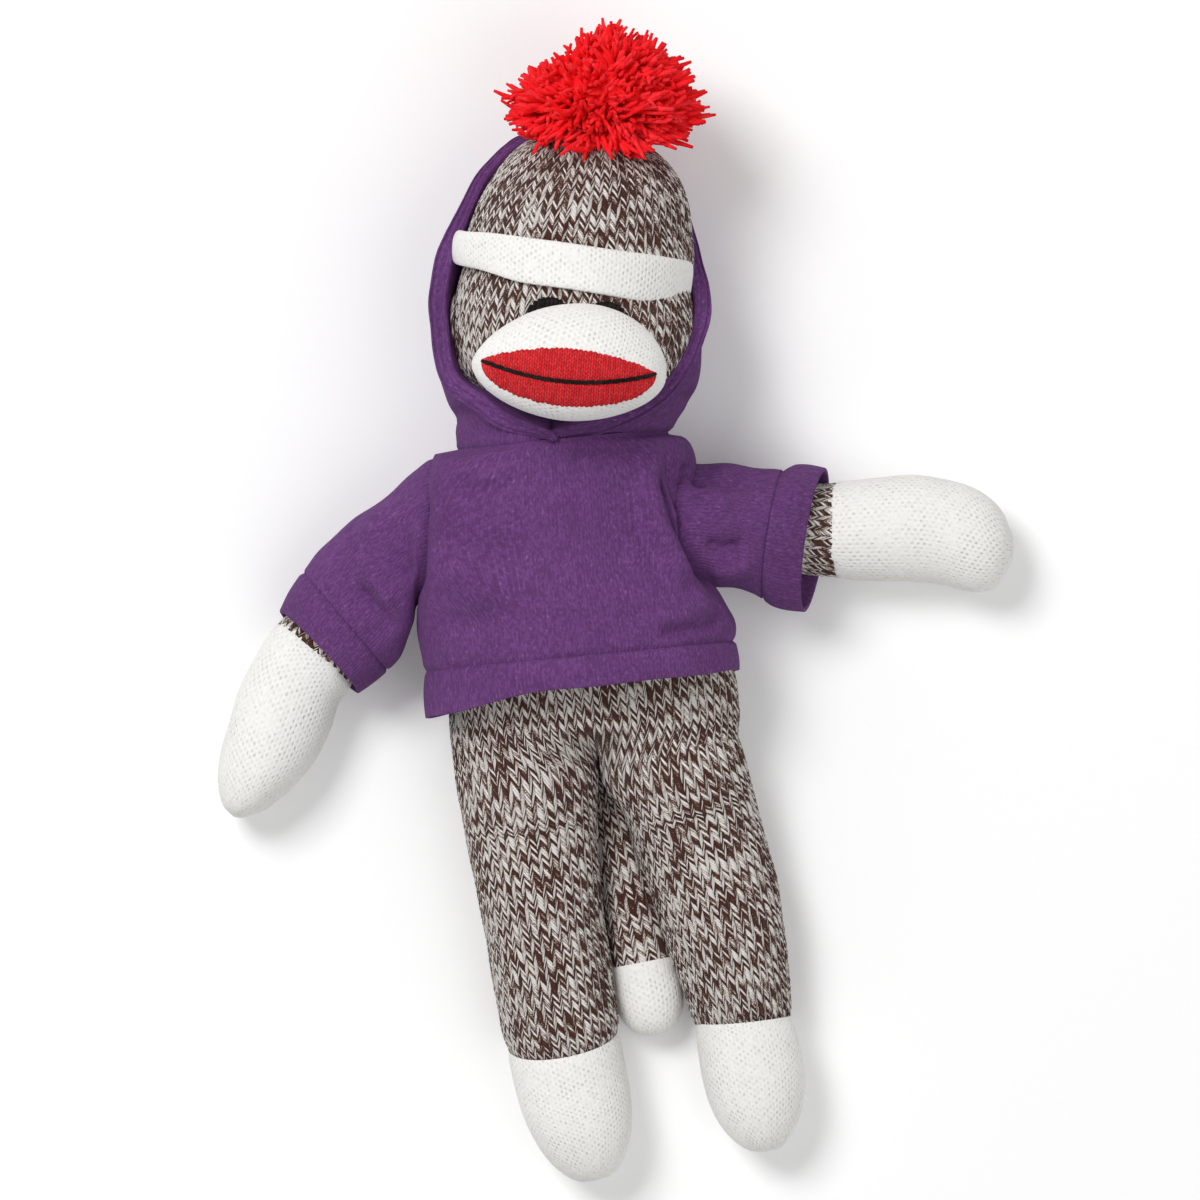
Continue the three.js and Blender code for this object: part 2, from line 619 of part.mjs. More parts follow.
// Behind the head lie the brim and the hood
const headHeight = HEAD_HALF_DEPTH + BRIM_WALL + 2 * FIT_GAP + CLOTH_WALL - FLAT_DEPTH;
const skull = uprightForm({
  base: 0,
  length: HEAD_HEIGHT,
  tip: HEAD_TIP,
  rows: [
    [0, NECK_RADIUS, NECK_RADIUS, 0, necklineHeight],
    [NECK_LENGTH, NECK_RADIUS, NECK_RADIUS, 0, necklineHeight],
    [0.2 * HEAD_HEIGHT, 0.9 * HEAD_HALF_WIDTH, 0.9 * HEAD_HALF_DEPTH, 0, headHeight],
    [0.37 * HEAD_HEIGHT, HEAD_HALF_WIDTH, HEAD_HALF_DEPTH, 0, headHeight],
    [0.56 * HEAD_HEIGHT, HEAD_HALF_WIDTH, HEAD_HALF_DEPTH, 0, headHeight],
    [HEAD_HEIGHT - HEAD_TIP, 0.9 * HEAD_HALF_WIDTH, 0.92 * HEAD_HALF_DEPTH, 0, headHeight],
    [HEAD_HEIGHT + HEAD_TIP, 0.7 * HEAD_HALF_WIDTH, 0.7 * HEAD_HALF_DEPTH, 0, headHeight],
  ],
  sides: BODY_SIDES,
  step: 13,
});
const headOut = (proud) => solidForm(skull, -proud, SEAM_GAP);

piece(head, "head_skin", skinForm(skull, 0, KNIT_WALL, SEAM_GAP), "marl");
piece(head, "head_fill", solidForm(skull, KNIT_WALL + FIT_GAP, FIT_GAP + SEAM_GAP), "fill");
const threadRing = NECK_RADIUS + FIT_GAP + NECK_THREAD_RADIUS;
const neckThread = new THREE.TorusGeometry(threadRing, NECK_THREAD_RADIUS, 6, BODY_SIDES)
  .rotateX(Math.PI / 2)
  .translate(0, SEAM_GAP + NECK_THREAD_RADIUS, necklineHeight);
piece(head, "neck_thread", solidOf(neckThread), "white");

// Muzzle, lips and mouth

const muzzleCentre = vec(0, MUZZLE_RISE, headHeight + HEAD_HALF_DEPTH + MUZZLE_REACH);
const muzzleSizes = (proud) =>
  vec(MUZZLE_HALF_WIDTH + proud, MUZZLE_HALF_HEIGHT + proud, MUZZLE_HALF_DEPTH + proud);
const muzzle = (proud) => ball(muzzleCentre, 1, muzzleSizes(proud));
const face = headOut(FIT_GAP);
piece(head, "muzzle_skin", less(muzzle(0), muzzle(-KNIT_WALL), face), "white");
piece(head, "muzzle_fill", less(muzzle(-KNIT_WALL - FIT_GAP), face), "fill");

// The front of the muzzle's surface, moved out, over a point of the face
function muzzleFront(x, y, proud) {
  const sizes = muzzleSizes(proud);
  const left = 1 - (x / sizes.x) ** 2 - ((y - muzzleCentre.y) / sizes.y) ** 2;
  return muzzleCentre.z + sizes.z * Math.sqrt(Math.max(left, 0));
}

const lipsShape = new THREE.Shape()
  .moveTo(-LIPS_HALF_WIDTH, LIPS_CORNER_RISE)
  .quadraticCurveTo(0, 2 * LIPS_BOTTOM_RISE - LIPS_CORNER_RISE, LIPS_HALF_WIDTH, LIPS_CORNER_RISE)
  .quadraticCurveTo(0, 2 * LIPS_TOP_RISE - LIPS_CORNER_RISE, -LIPS_HALF_WIDTH, LIPS_CORNER_RISE);
const lipsPrism = new THREE.ExtrudeGeometry(lipsShape, {
  depth: 2 * MUZZLE_HALF_DEPTH,
  bevelEnabled: false,
  curveSegments: 10,
}).translate(0, 0, muzzleCentre.z);
const lipsProud = FIT_GAP + LIPS_WALL;
piece(head, "lips", muzzle(lipsProud).subtract(muzzle(FIT_GAP)).intersect(solidOf(lipsPrism)), "red");

const mouthPoints = Array.from({ length: 13 }, (_, i) => {
  const share = lerp(-1, 1, i / 12);
  const x = share * (LIPS_HALF_WIDTH - 2 * MOUTH_YARN_RADIUS);
  const y = LIPS_CORNER_RISE - MOUTH_SAG * (1 - share * share);
  return vec(x, y, muzzleFront(x, y, lipsProud + FIT_GAP + MOUTH_YARN_RADIUS));
});
const yarn = new THREE.Shape().absarc(0, 0, MOUTH_YARN_RADIUS, 0, 2 * Math.PI);
const mouth = new THREE.ExtrudeGeometry(yarn, {
  steps: 12,
  curveSegments: 3,
  extrudePath: new THREE.CatmullRomCurve3(mouthPoints),
});
piece(head, "mouth_stitch", solidOf(mouth), "black");

// Eyes and ears: patches that follow the head, bounded by an oval seen along one axis

function headPatch(proud, wall, oval) {
  return headOut(proud + wall).subtract(headOut(proud)).intersect(oval);
}

function ovalOf(halfWidth, halfHeight) {
  const round = new THREE.CylinderGeometry(1, 1, HEAD_HALF_DEPTH, LIMB_SIDES);
  return round.rotateX(Math.PI / 2).scale(halfWidth, halfHeight, 1);
}
for (const [name, side] of [["left", 1], ["right", -1]]) {
  const eyeOval = ovalOf(EYE_HALF_WIDTH, EYE_HALF_HEIGHT);
  eyeOval.translate(side * EYE_SPREAD, EYE_RISE, muzzleCentre.z);
  const eye = headPatch(FIT_GAP, EYE_WALL, solidOf(eyeOval)).subtract(muzzle(FIT_GAP));
  piece(head, `eye_${name}`, eye, "black");
  const earOval = ovalOf(EAR_HALF_DEPTH, EAR_HALF_HEIGHT)
    .rotateY(Math.PI / 2)
    .translate(side * HEAD_HALF_WIDTH, EAR_RISE, headHeight);
  piece(head, `ear_${name}`, headPatch(FIT_GAP, EAR_WALL, solidOf(earOval)), "marl");
}

// Cap, brim and pom-pom

const brimUp = vec(Math.sin(degToRad(BRIM_TILT)), Math.cos(degToRad(BRIM_TILT)), 0);
const brimMiddle = vec(0, BRIM_RISE, 0);
const brimAt = (offset) => brimMiddle.clone().addScaledVector(brimUp, offset);
const overBrim = (offset) => beyond(brimAt(offset), brimUp);
const underBrim = (offset) => beyond(brimAt(offset), brimUp.clone().negate());
const brimReach = BRIM_LENGTH / 2 + HEAD_HALF_WIDTH * Math.sin(degToRad(BRIM_TILT)) + BRIM_WALL;
const band = skinForm(skull, -FIT_GAP - BRIM_WALL, -FIT_GAP, BRIM_RISE - brimReach, BRIM_RISE + brimReach);
piece(head, "cap_brim", less(band, overBrim(BRIM_LENGTH / 2), underBrim(-BRIM_LENGTH / 2)), "white");
const crown = skinForm(skull, -FIT_GAP - KNIT_WALL, -FIT_GAP, BRIM_RISE);
piece(head, "cap_crown", less(crown, underBrim(BRIM_LENGTH / 2 + SEAM_GAP)), "marl");

const capTop = HEAD_HEIGHT + FIT_GAP + KNIT_WALL;
const knot = vec(0, capTop + SEAM_GAP + KNOT_RADIUS, headHeight);
piece(head, "pom_pom_knot", ball(knot, KNOT_RADIUS, vec(1, 1, 1), 2), "red");

// A dense round tuft of yarn: a flattened ball whose surface rises and falls in blunt points
function pomPom() {
  const geometry = new THREE.IcosahedronGeometry(1, 4);
  const position = geometry.getAttribute("position");
  const point = vec(0, 0, 0);
  for (let i = 0; i < position.count; i++) {
    point.fromBufferAttribute(position, i);
    const wave = Math.sin(11 * point.x + 2) * Math.sin(12 * point.y + 1) * Math.sin(11 * point.z + 3);
    const rise = 1 - POM_TUFTS / 2 + POM_TUFTS * wave;
    position.setXYZ(i, point.x * rise, point.y * rise, point.z * rise);
  }
  geometry.scale(POM_HALF_WIDTH, POM_HALF_HEIGHT, POM_HALF_DEPTH);
  return solidOf(geometry.translate(knot.x, knot.y + POM_RISE, knot.z + POM_FORWARD));
}
const pomBottom = beyond(knot.clone().add(vec(0, SOCKET_GAP, 0)), vec(0, -1, 0));
piece(head, "pom_pom", less(pomPom(), pomBottom, ball(knot, KNOT_RADIUS + SOCKET_GAP, vec(1, 1, 1), 2)), "red");

// Hood and the hem round its opening

const hoodTall = HEAD_HEIGHT + HOOD_ROOM;
const hoodHeight = HOOD_HALF_DEPTH - FLAT_DEPTH;
const hoodMid = [lerp(NECKLINE_RADIUS, HOOD_HALF_WIDTH, 0.5), lerp(NECKLINE_RADIUS, HOOD_HALF_DEPTH, 0.5)];
const hood = uprightForm({
  base: 0,
  length: hoodTall,
  tip: HOOD_TIP,
  rows: [
    [0, NECKLINE_RADIUS, NECKLINE_RADIUS, 0, necklineHeight],
    [0.1 * hoodTall, ...hoodMid, 0, lerp(necklineHeight, hoodHeight, 0.5)],
    [0.32 * hoodTall, HOOD_HALF_WIDTH, HOOD_HALF_DEPTH, 0, hoodHeight],
    [0.55 * hoodTall, HOOD_HALF_WIDTH, HOOD_HALF_DEPTH, 0, hoodHeight],
    [hoodTall - HOOD_TIP, 0.95 * HOOD_HALF_WIDTH, 0.97 * HOOD_HALF_DEPTH, 0, hoodHeight],
    [hoodTall + HOOD_TIP, 0.9 * HOOD_HALF_WIDTH, 0.9 * HOOD_HALF_DEPTH, 0, hoodHeight],
  ],
  sides: BODY_SIDES,
  step: 13,
});
const openingOut = vec(0, Math.sin(degToRad(HOOD_SLOPE)), Math.cos(degToRad(HOOD_SLOPE)));
const openingEdge = vec(0, 0, HOOD_FRONT);
const openingAt = (offset) => openingEdge.clone().addScaledVector(openingOut, offset);
const hoodShell = skinForm(hood, 0, CLOTH_WALL, SEAM_GAP / 2);
piece(head, "hood", less(hoodShell, beyond(openingEdge, openingOut), FLOOR), "purple");
const hoodHem = skinForm(hood, -HOOD_HEM_PROUD, CLOTH_WALL, SEAM_GAP / 2);
const hemBack = beyond(openingAt(SEAM_GAP), openingOut.clone().negate());
const hemFront = beyond(openingAt(HOOD_HEM_LENGTH), openingOut);
piece(head, "hood_hem", less(hoodHem, hemBack, hemFront, FLOOR), "purple");

monkey.add(head);
export default monkey;
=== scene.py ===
"""A knitted plush monkey in a hooded sweatshirt, lying on its back and seen from straight above.

Shapes are worked out in millimetres in the frame's axes: +X is the monkey's left, +Y its head, +Z its front.
"""

import json
import math
from types import SimpleNamespace

import bpy
import numpy as np
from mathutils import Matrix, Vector


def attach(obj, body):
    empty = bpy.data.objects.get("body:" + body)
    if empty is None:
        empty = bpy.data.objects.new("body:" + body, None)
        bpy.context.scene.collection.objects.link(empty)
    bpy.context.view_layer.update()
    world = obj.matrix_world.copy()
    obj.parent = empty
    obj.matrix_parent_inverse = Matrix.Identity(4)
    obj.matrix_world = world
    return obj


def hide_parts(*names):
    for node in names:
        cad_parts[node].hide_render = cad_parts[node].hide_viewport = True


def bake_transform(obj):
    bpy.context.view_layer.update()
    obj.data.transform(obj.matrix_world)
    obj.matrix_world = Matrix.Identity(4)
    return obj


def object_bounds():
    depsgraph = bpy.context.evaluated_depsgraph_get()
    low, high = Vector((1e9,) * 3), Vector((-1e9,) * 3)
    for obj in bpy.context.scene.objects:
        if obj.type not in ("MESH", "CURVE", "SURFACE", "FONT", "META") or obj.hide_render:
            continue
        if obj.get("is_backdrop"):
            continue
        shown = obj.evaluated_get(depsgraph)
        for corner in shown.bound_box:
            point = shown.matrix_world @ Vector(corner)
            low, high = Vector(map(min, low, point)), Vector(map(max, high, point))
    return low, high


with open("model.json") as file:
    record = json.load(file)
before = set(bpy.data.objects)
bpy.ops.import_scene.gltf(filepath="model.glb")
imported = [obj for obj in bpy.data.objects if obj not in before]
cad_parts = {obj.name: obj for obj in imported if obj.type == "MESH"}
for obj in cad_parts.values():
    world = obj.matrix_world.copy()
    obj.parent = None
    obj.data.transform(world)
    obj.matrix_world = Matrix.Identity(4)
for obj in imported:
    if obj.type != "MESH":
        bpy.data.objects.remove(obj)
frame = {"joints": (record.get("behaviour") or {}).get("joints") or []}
cad_box = [list(corner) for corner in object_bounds()]

MM = 0.001
SIDES = {"left": 1, "right": -1}
chance = np.random.default_rng(5)

# Stitches
WALE = 3.1  # one column of the marled knit
COURSE = 2.1  # one row of it
LEANING = 0.62  # the share of a column that its leaning strokes take; the rest is an upright chain
LEAN = 1.05  # rows that a leaning stroke falls
CHAIN = 1.5  # rows that a stroke of the chain climbs
DOT = 1.3  # between the white knit's columns of small holes
DOT_ROW = 1.85
RED_WALE = 1.45
RED_COURSE = 1.2
JERSEY_WALE = 1.0
MARL_RELIEF = 0.45
STITCH_POINTS = 4  # points of the mesh across one column of the marled knit
YARN_SIDES = 6

# Places of the joints, as in the frame
joint_at = {j["name"]: np.array(j["pos_m"]) / MM for j in frame["joints"]}
HIPS = {side: joint_at[f"leg_{side}_flex"] for side in SIDES}
SHOULDERS = {side: joint_at[f"arm_{side}_raise"] for side in SIDES}
NECK = joint_at["head_turn"]
KNOT = joint_at["pom_pom_flop"]
HEAD_TILT = 10  # degrees to the monkey's left


# Small maths


def smooth(x, low, high):
    t = np.clip((np.asarray(x, float) - low) / (high - low), 0, 1)
    return t * t * (3 - 2 * t)


def bell(x):
    """1 where x is 0, falling towards 0 at both sides."""
    return np.exp(-(x**2))


def joined(*parts):
    """Coordinates of points, or of a map, put together."""
    return np.stack(np.broadcast_arrays(*parts), -1)


def through(rows, x):
    """A smooth curve through rows of [x, value, ...], read at each x."""
    rows = np.asarray(rows, float)
    x = np.clip(np.asarray(x, float), rows[0, 0], rows[-1, 0])
    knots = rows[:, 0]
    values = rows[:, 1:]
    order = np.arange(len(rows))
    after = np.minimum(order + 1, len(rows) - 1)
    before = np.maximum(order - 1, 0)
    slopes = (values[after] - values[before]) / (knots[after] - knots[before])[:, None]
    i = np.clip(np.searchsorted(knots, x, side="left") - 1, 0, len(rows) - 2)
    span = (knots[i + 1] - knots[i])[..., None]
    t = ((x - knots[i]) / span[..., 0])[..., None]
    rest = 1 - t
    found = values[i] * rest**2 * (1 + 2 * t) + values[i + 1] * t**2 * (3 - 2 * t)
    return found + span * t * rest * (slopes[i] * rest - slopes[i + 1] * t)


def each_through(rows, x):
    """The values of that curve, each by itself."""
    return np.moveaxis(through(rows, x), -1, 0)


def run_along(path):
    """The distance along a path at each of its points."""
    steps = np.linalg.norm(np.diff(path, axis=0), axis=1)
    return np.concatenate([[0], np.cumsum(steps)])


def waves(points, scale, seed, count=5):
    """A soft, even unevenness between about -1 and 1, for points in millimetres."""
    dice = np.random.default_rng(seed)
    total = np.zeros(points.shape[:-1])
    for _ in range(count):
        direction = dice.normal(size=3)
        direction /= np.linalg.norm(direction)
        pitch = scale * dice.uniform(0.7, 1.5)
        total += np.sin(points @ direction * 2 * math.pi / pitch + dice.uniform(0, 7))
    return total / math.sqrt(2 * count)


def normals_of(grid, around):
    if around:
        across = np.roll(grid, -1, 1) - np.roll(grid, 1, 1)
    else:
        across = np.gradient(grid, axis=1)
    along = np.gradient(grid, axis=0)
    found = np.cross(across, along)
    found /= np.maximum(np.linalg.norm(found, axis=-1, keepdims=True), 1e-9)
    outward = grid - grid.mean((0, 1))
    return found * np.sign((found * outward).sum())


def moved_out(grid, amount, around):
    return grid + normals_of(grid, around) * np.asarray(amount)[..., None]


def on_table(grid, soft=1.2):
    """Presses what would sink below the table flat, with a rounded edge."""
    z = grid[..., 2]
    grid[..., 2] = (z + np.sqrt(z * z + soft * soft)) / 2
    return grid


def from_head(points):
    """Points [to the head's left, up its face, out of its front], in the toy's frame."""
    tilt = math.radians(HEAD_TILT)
    x = NECK[0] + points[..., 0] * math.cos(tilt) + points[..., 1] * math.sin(tilt)
    y = NECK[1] - points[..., 0] * math.sin(tilt) + points[..., 1] * math.cos(tilt)
    return np.stack([x, y, points[..., 2]], -1)


# Meshes


def surface(name, grid, uv, material, around=False, pole_start=None, pole_end=None):
    """A mesh over a grid of points in millimetres, with its knit's own coordinates."""
    rows, columns = grid.shape[:2]
    points = grid.reshape(-1, 3)
    index = np.arange(rows * columns).reshape(rows, columns)
    if around:
        index = np.concatenate([index, index[:, :1]], 1)
    uv = np.asarray(uv, float)
    faces = quads_of(index)
    maps = quads_of(uv)
    outward = points[faces].mean(1) - points.mean(0)
    corner = points[faces[:, 0]]
    facing = np.cross(points[faces[:, 1]] - corner, points[faces[:, 3]] - corner)
    flip = (facing * outward).sum() < 0
    if flip:
        faces = faces[:, ::-1]
        maps = maps[:, ::-1]
    face_list = faces.tolist()
    map_list = [maps.reshape(-1, 2)]
    poles = ((pole_start, index[0], uv[0], not flip), (pole_end, index[-1], uv[-1], flip))
    for pole, ring, ring_map, turned in poles:
        if pole is None:
            continue
        points = np.concatenate([points, [pole]])
        for first in range(len(ring) - 1):
            pair = [first + 1, first] if turned else [first, first + 1]
            face_list.append([*ring[pair].tolist(), len(points) - 1])
            map_list.append(np.concatenate([ring_map[pair], ring_map[pair].mean(0, keepdims=True)]))
    return mesh_object(name, points, face_list, np.concatenate(map_list), material)


def quads_of(grid):
    """The four corners of each cell of a grid."""
    corners = np.stack([grid[:-1, :-1], grid[:-1, 1:], grid[1:, 1:], grid[1:, :-1]], 2)
    return corners.reshape(-1, 4, *grid.shape[2:])


def mesh_object(name, points, faces, uv, material):
    mesh = bpy.data.meshes.new(name)
    mesh.from_pydata((points * MM).tolist(), [], faces)
    layer = mesh.uv_layers.new(name="Knit")
    layer.data.foreach_set("uv", np.asarray(uv, np.float32).ravel())
    mesh.polygons.foreach_set("use_smooth", [True] * len(mesh.polygons))
    mesh.materials.append(material)
    mesh.update()
    made = bpy.data.objects.new(name, mesh)
    bpy.context.scene.collection.objects.link(made)
    return made


def stitch_u(wales):
    """The marled knit's coordinate round a piece of so many columns of stitches."""
    return np.arange(wales * STITCH_POINTS + 1)[None] / STITCH_POINTS


def around_u(columns, wales):
    """A finer knit's coordinate round a mesh of so many columns."""
    return np.arange(columns + 1)[None] / columns * wales


def dot_columns(girth):
    """The white knit's columns of holes round a girth: an even number, because they are staggered."""
    return round(girth / DOT / 2) * 2


def stitch_height(u, v):
    """How far a knit stands out, from 0 in the gaps to 1 on the back of each stroke of a stitch."""
    part = u - np.floor(u)
    leaning = part < LEANING
    t = np.where(leaning, part / LEANING, (part - LEANING) / (1 - LEANING))
    row = np.where(leaning, v + LEAN * t, v - CHAIN * t)
    ridge = 1 - (2 * t - 1) ** 2
    along = 1 - (2 * (row - np.floor(row)) - 1) ** 2
    return np.sqrt(np.clip(ridge, 0, 1)) * (0.5 + 0.5 * along)


def stitch_relief(u, v, level=0.6):
    """How far the marled knit stands out of a smooth surface at the level, or in from it."""
    return MARL_RELIEF * (stitch_height(u, v) - level)


def tube_faces(paths, radii):
    """Points, faces and map of many short yarns, from paths [yarn, point, xyz] and radii [yarn, point]."""
    sides = YARN_SIDES
    count, steps = paths.shape[:2]
    forward = np.gradient(paths, axis=1)
    forward /= np.linalg.norm(forward, axis=-1, keepdims=True)
    guide = np.where(np.abs(forward[..., 2:]) < 0.8, [0.0, 0.0, 1.0], [1.0, 0.0, 0.0])
    side = np.cross(forward, guide)
    side /= np.linalg.norm(side, axis=-1, keepdims=True)
    up = np.cross(side, forward)
    angles = np.arange(sides) * 2 * math.pi / sides
    ring = side[:, :, None] * np.cos(angles)[:, None] + up[:, :, None] * np.sin(angles)[:, None]
    points = paths[:, :, None] + ring * radii[:, :, None, None]
    index = np.arange(count * steps * sides).reshape(count, steps, sides)
    after = np.roll(index, -1, 2)
    quads = np.stack([index[:, :-1], after[:, :-1], after[:, 1:], index[:, 1:]], -1).reshape(-1, 4)
    ends = np.concatenate([index[:, 0, ::-1], index[:, -1]])
    yarn = np.arange(count)[:, None, None]
    share = np.linspace(0, 1, steps)[None, :, None]
    turn = np.arange(sides + 1)[None, None] / sides
    u = np.broadcast_to(yarn + turn * 0.98 + 0.01, (count, steps, sides + 1))
    v = np.broadcast_to(share, (count, steps, sides + 1))
    uv = np.stack([u, v], -1)
    maps = np.stack([uv[:, :-1, :-1], uv[:, :-1, 1:], uv[:, 1:, 1:], uv[:, 1:, :-1]], 3).reshape(-1, 2)
    end_maps = np.concatenate([uv[:, 0, :sides][:, ::-1], uv[:, -1, :sides]]).reshape(-1, 2)
    return points.reshape(-1, 3), quads.tolist() + ends.tolist(), np.concatenate([maps, end_maps])


def tubes(name, paths, radii, material):
    return mesh_object(name, *tube_faces(paths, radii), material)


# Materials


def colour(code):
    """A colour written as #rrggbb, as the linear values that a shader takes."""
    parts = [int(code[i : i + 2], 16) / 255 for i in (1, 3, 5)]
    linear = [p / 12.92 if p <= 0.04045 else ((p + 0.055) / 1.055) ** 2.4 for p in parts]
    return (*linear, 1.0)


class Shade:
    """A material under construction."""

    def __init__(self, name, roughness=0.95, sheen=0.0, sheen_tint="#ffffff"):
        self.material = bpy.data.materials.new(name)
        self.material.use_nodes = True
        self.nodes = self.material.node_tree.nodes
        self.links = self.material.node_tree.links
        self.shader = self.nodes["Principled BSDF"]
        self.shader.inputs["Roughness"].default_value = roughness
        self.shader.inputs["Specular IOR Level"].default_value = 0.2
        self.shader.inputs["Sheen Weight"].default_value = sheen
        self.shader.inputs["Sheen Roughness"].default_value = 0.6
        self.shader.inputs["Sheen Tint"].default_value = colour(sheen_tint)

    def set(self, socket, value):
        if isinstance(value, bpy.types.NodeSocket):
            self.links.new(value, socket)
        else:
            socket.default_value = value

    def math(self, operation, *values):
        node = self.nodes.new("ShaderNodeMath")
        node.operation = operation
        for socket, value in zip(node.inputs, values):
            self.set(socket, value)
        return node.outputs[0]

    def add(self, a, b):
        return self.math("ADD", a, b)

    def less(self, a, b):
        return self.math("SUBTRACT", a, b)

    def times(self, a, b):
        return self.math("MULTIPLY", a, b)

    def floor(self, a):
        return self.math("FLOOR", a)

    def hump(self, t):
        """Rises from 0 to 1 and falls back, as t goes from 0 to 1."""
        return self.less(1.0, self.math("POWER", self.less(self.times(t, 2.0), 1.0), 2.0))

    def vector(self, x, y):
        node = self.nodes.new("ShaderNodeCombineXYZ")
        for socket, value in zip(node.inputs, (x, y)):
            self.set(socket, value)
        return node.outputs[0]

    def uv(self):
        node = self.nodes.new("ShaderNodeUVMap")
        node.uv_map = "Knit"
        split = self.nodes.new("ShaderNodeSeparateXYZ")
        self.links.new(node.outputs[0], split.inputs[0])
        return split.outputs[0], split.outputs[1]

    def white_noise(self, vector):
        node = self.nodes.new("ShaderNodeTexWhiteNoise")
        node.noise_dimensions = "2D"
        self.links.new(vector, node.inputs["Vector"])
        return node.outputs["Value"]

    def noise(self, vector, scale=1.0, detail=2.0):
        node = self.nodes.new("ShaderNodeTexNoise")
        self.links.new(vector, node.inputs["Vector"])
        node.inputs["Scale"].default_value = scale
        node.inputs["Detail"].default_value = detail
        return node.outputs["Fac"]

    def place(self):
        return self.nodes.new("ShaderNodeTexCoord").outputs["Object"]

    def ramp(self, factor, stops):
        node = self.nodes.new("ShaderNodeValToRGB")
        while len(node.color_ramp.elements) < len(stops):
            node.color_ramp.elements.new(0.5)
        for element, (position, code) in zip(node.color_ramp.elements, stops):
            element.position = position
            element.color = colour(code)
        self.set(node.inputs[0], factor)
        return node.outputs[0]

    def shaded(self, base, factor):
        """The base colour, darker where the factor is below 1."""
        node = self.nodes.new("ShaderNodeMix")
        node.data_type = "RGBA"
        node.blend_type = "MULTIPLY"
        node.inputs["Factor"].default_value = 1.0
        grey = self.nodes.new("ShaderNodeCombineColor")
        for socket in grey.inputs:
            self.set(socket, factor)
        self.set(node.inputs["A"], base)
        self.links.new(grey.outputs[0], node.inputs["B"])
        return node.outputs["Result"]

    def bump(self, height, distance):
        node = self.nodes.new("ShaderNodeBump")
        node.inputs["Distance"].default_value = distance * MM
        self.set(node.inputs["Height"], height)
        self.links.new(node.outputs[0], self.shader.inputs["Normal"])

    def finish(self, base):
        self.set(self.shader.inputs["Base Color"], base)
        return self.material


def stitches(shade, share, lean, chain, plies=1):
    """A knit's strokes: each point's half column and row, how far across its stroke it is, and how high.

    The strokes of the first share of each column fall by so many rows, and those of the rest climb. Each is
    rounded as one yarn, or as several plies side by side.
    """
    u, v = shade.uv()
    wale = shade.floor(u)
    part = shade.less(u, wale)
    leaning = shade.math("LESS_THAN", part, share)
    first = shade.math("DIVIDE", part, share)
    second = shade.math("DIVIDE", shade.less(part, share), 1.0 - share)
    t = shade.add(second, shade.times(leaning, shade.less(first, second)))
    slope = shade.less(shade.times(leaning, lean + chain), chain)
    lifted = shade.add(v, shade.times(t, slope))
    row = shade.floor(lifted)
    across = shade.less(lifted, row)
    half = shade.add(shade.times(wale, 2.0), leaning)
    in_ply = shade.math("FRACT", shade.times(across, float(plies)))
    rounded = shade.times(shade.hump(t), shade.hump(in_ply))
    height = shade.math("SQRT", shade.math("MAXIMUM", rounded, 0.0))
    return SimpleNamespace(half=half, row=row, across=across, height=height, leaning=leaning)


def marl_knit(name, light):
    """Brown and white yarns knitted together, so that each stroke is brown, white or some of both.

    The colours run on for a few stitches along a row, and the upright chains are lighter. The gaps are
    painted browner and darker, partly for the brown yarn that shows there and partly as painted shade.
    """
    shade = Shade(name, sheen=0.1)
    knit = stitches(shade, LEANING, LEAN, CHAIN, plies=2)
    streak = shade.noise(shade.vector(shade.times(knit.half, 0.19), shade.times(knit.row, 0.83)), detail=1.0)
    patch = shade.noise(shade.vector(shade.times(knit.half, 0.07), shade.times(knit.row, 0.21)), detail=1.0)
    single = shade.white_noise(shade.vector(knit.half, knit.row))
    flip = shade.white_noise(shade.vector(shade.add(knit.half, 31.5), knit.row))
    fibre = shade.noise(shade.place(), scale=2600.0, detail=1.0)
    ply = shade.times(shade.less(knit.across, 0.5), 4.0)
    ply = shade.math("MINIMUM", shade.math("MAXIMUM", ply, -1.0), 1.0)
    ply = shade.times(ply, shade.less(shade.times(flip, 2.0), 1.0))
    tone = shade.less(light, shade.times(knit.leaning, 0.05))
    for part, weight in ((streak, 1.2), (patch, 0.35), (single, 0.3), (fibre, 0.5)):
        tone = shade.add(tone, shade.times(shade.less(part, 0.5), weight))
    tone = shade.add(tone, shade.times(ply, 0.32))
    # Partly brown yarn and partly painted shade: the tone falls in the gaps between strokes.
    tone = shade.add(tone, shade.times(shade.less(knit.height, 0.62), 0.2))
    base = shade.ramp(tone, [(0.37, "#4a251a"), (0.46, "#704d3f"), (0.55, "#c6b8af"), (0.68, "#f6f1ec")])
    shade.bump(shade.add(knit.height, shade.times(fibre, 0.3)), 0.45)
    # Painted shade: the colour is multiplied darker in the gaps between strokes.
    return shade.finish(shade.shaded(base, shade.add(shade.times(knit.height, 0.34), 0.74)))


def red_knit():
    """A plain fine stockinette."""
    shade = Shade("red_knit")
    knit = stitches(shade, 0.5, 0.75, 0.75)
    single = shade.white_noise(shade.vector(knit.half, knit.row))
    fuzz = shade.noise(shade.place(), scale=1400.0, detail=2.0)
    tone = shade.add(shade.times(fuzz, 0.6), shade.times(single, 0.4))
    base = shade.ramp(tone, [(0.35, "#ea2a31"), (0.6, "#ff3c42")])
    shade.bump(shade.add(knit.height, shade.times(fuzz, 0.5)), 0.4)
    # Painted shade: the colour is darker in the gaps between stitches.
    return shade.finish(shade.shaded(base, shade.add(shade.times(knit.height, 0.45), 0.55)))


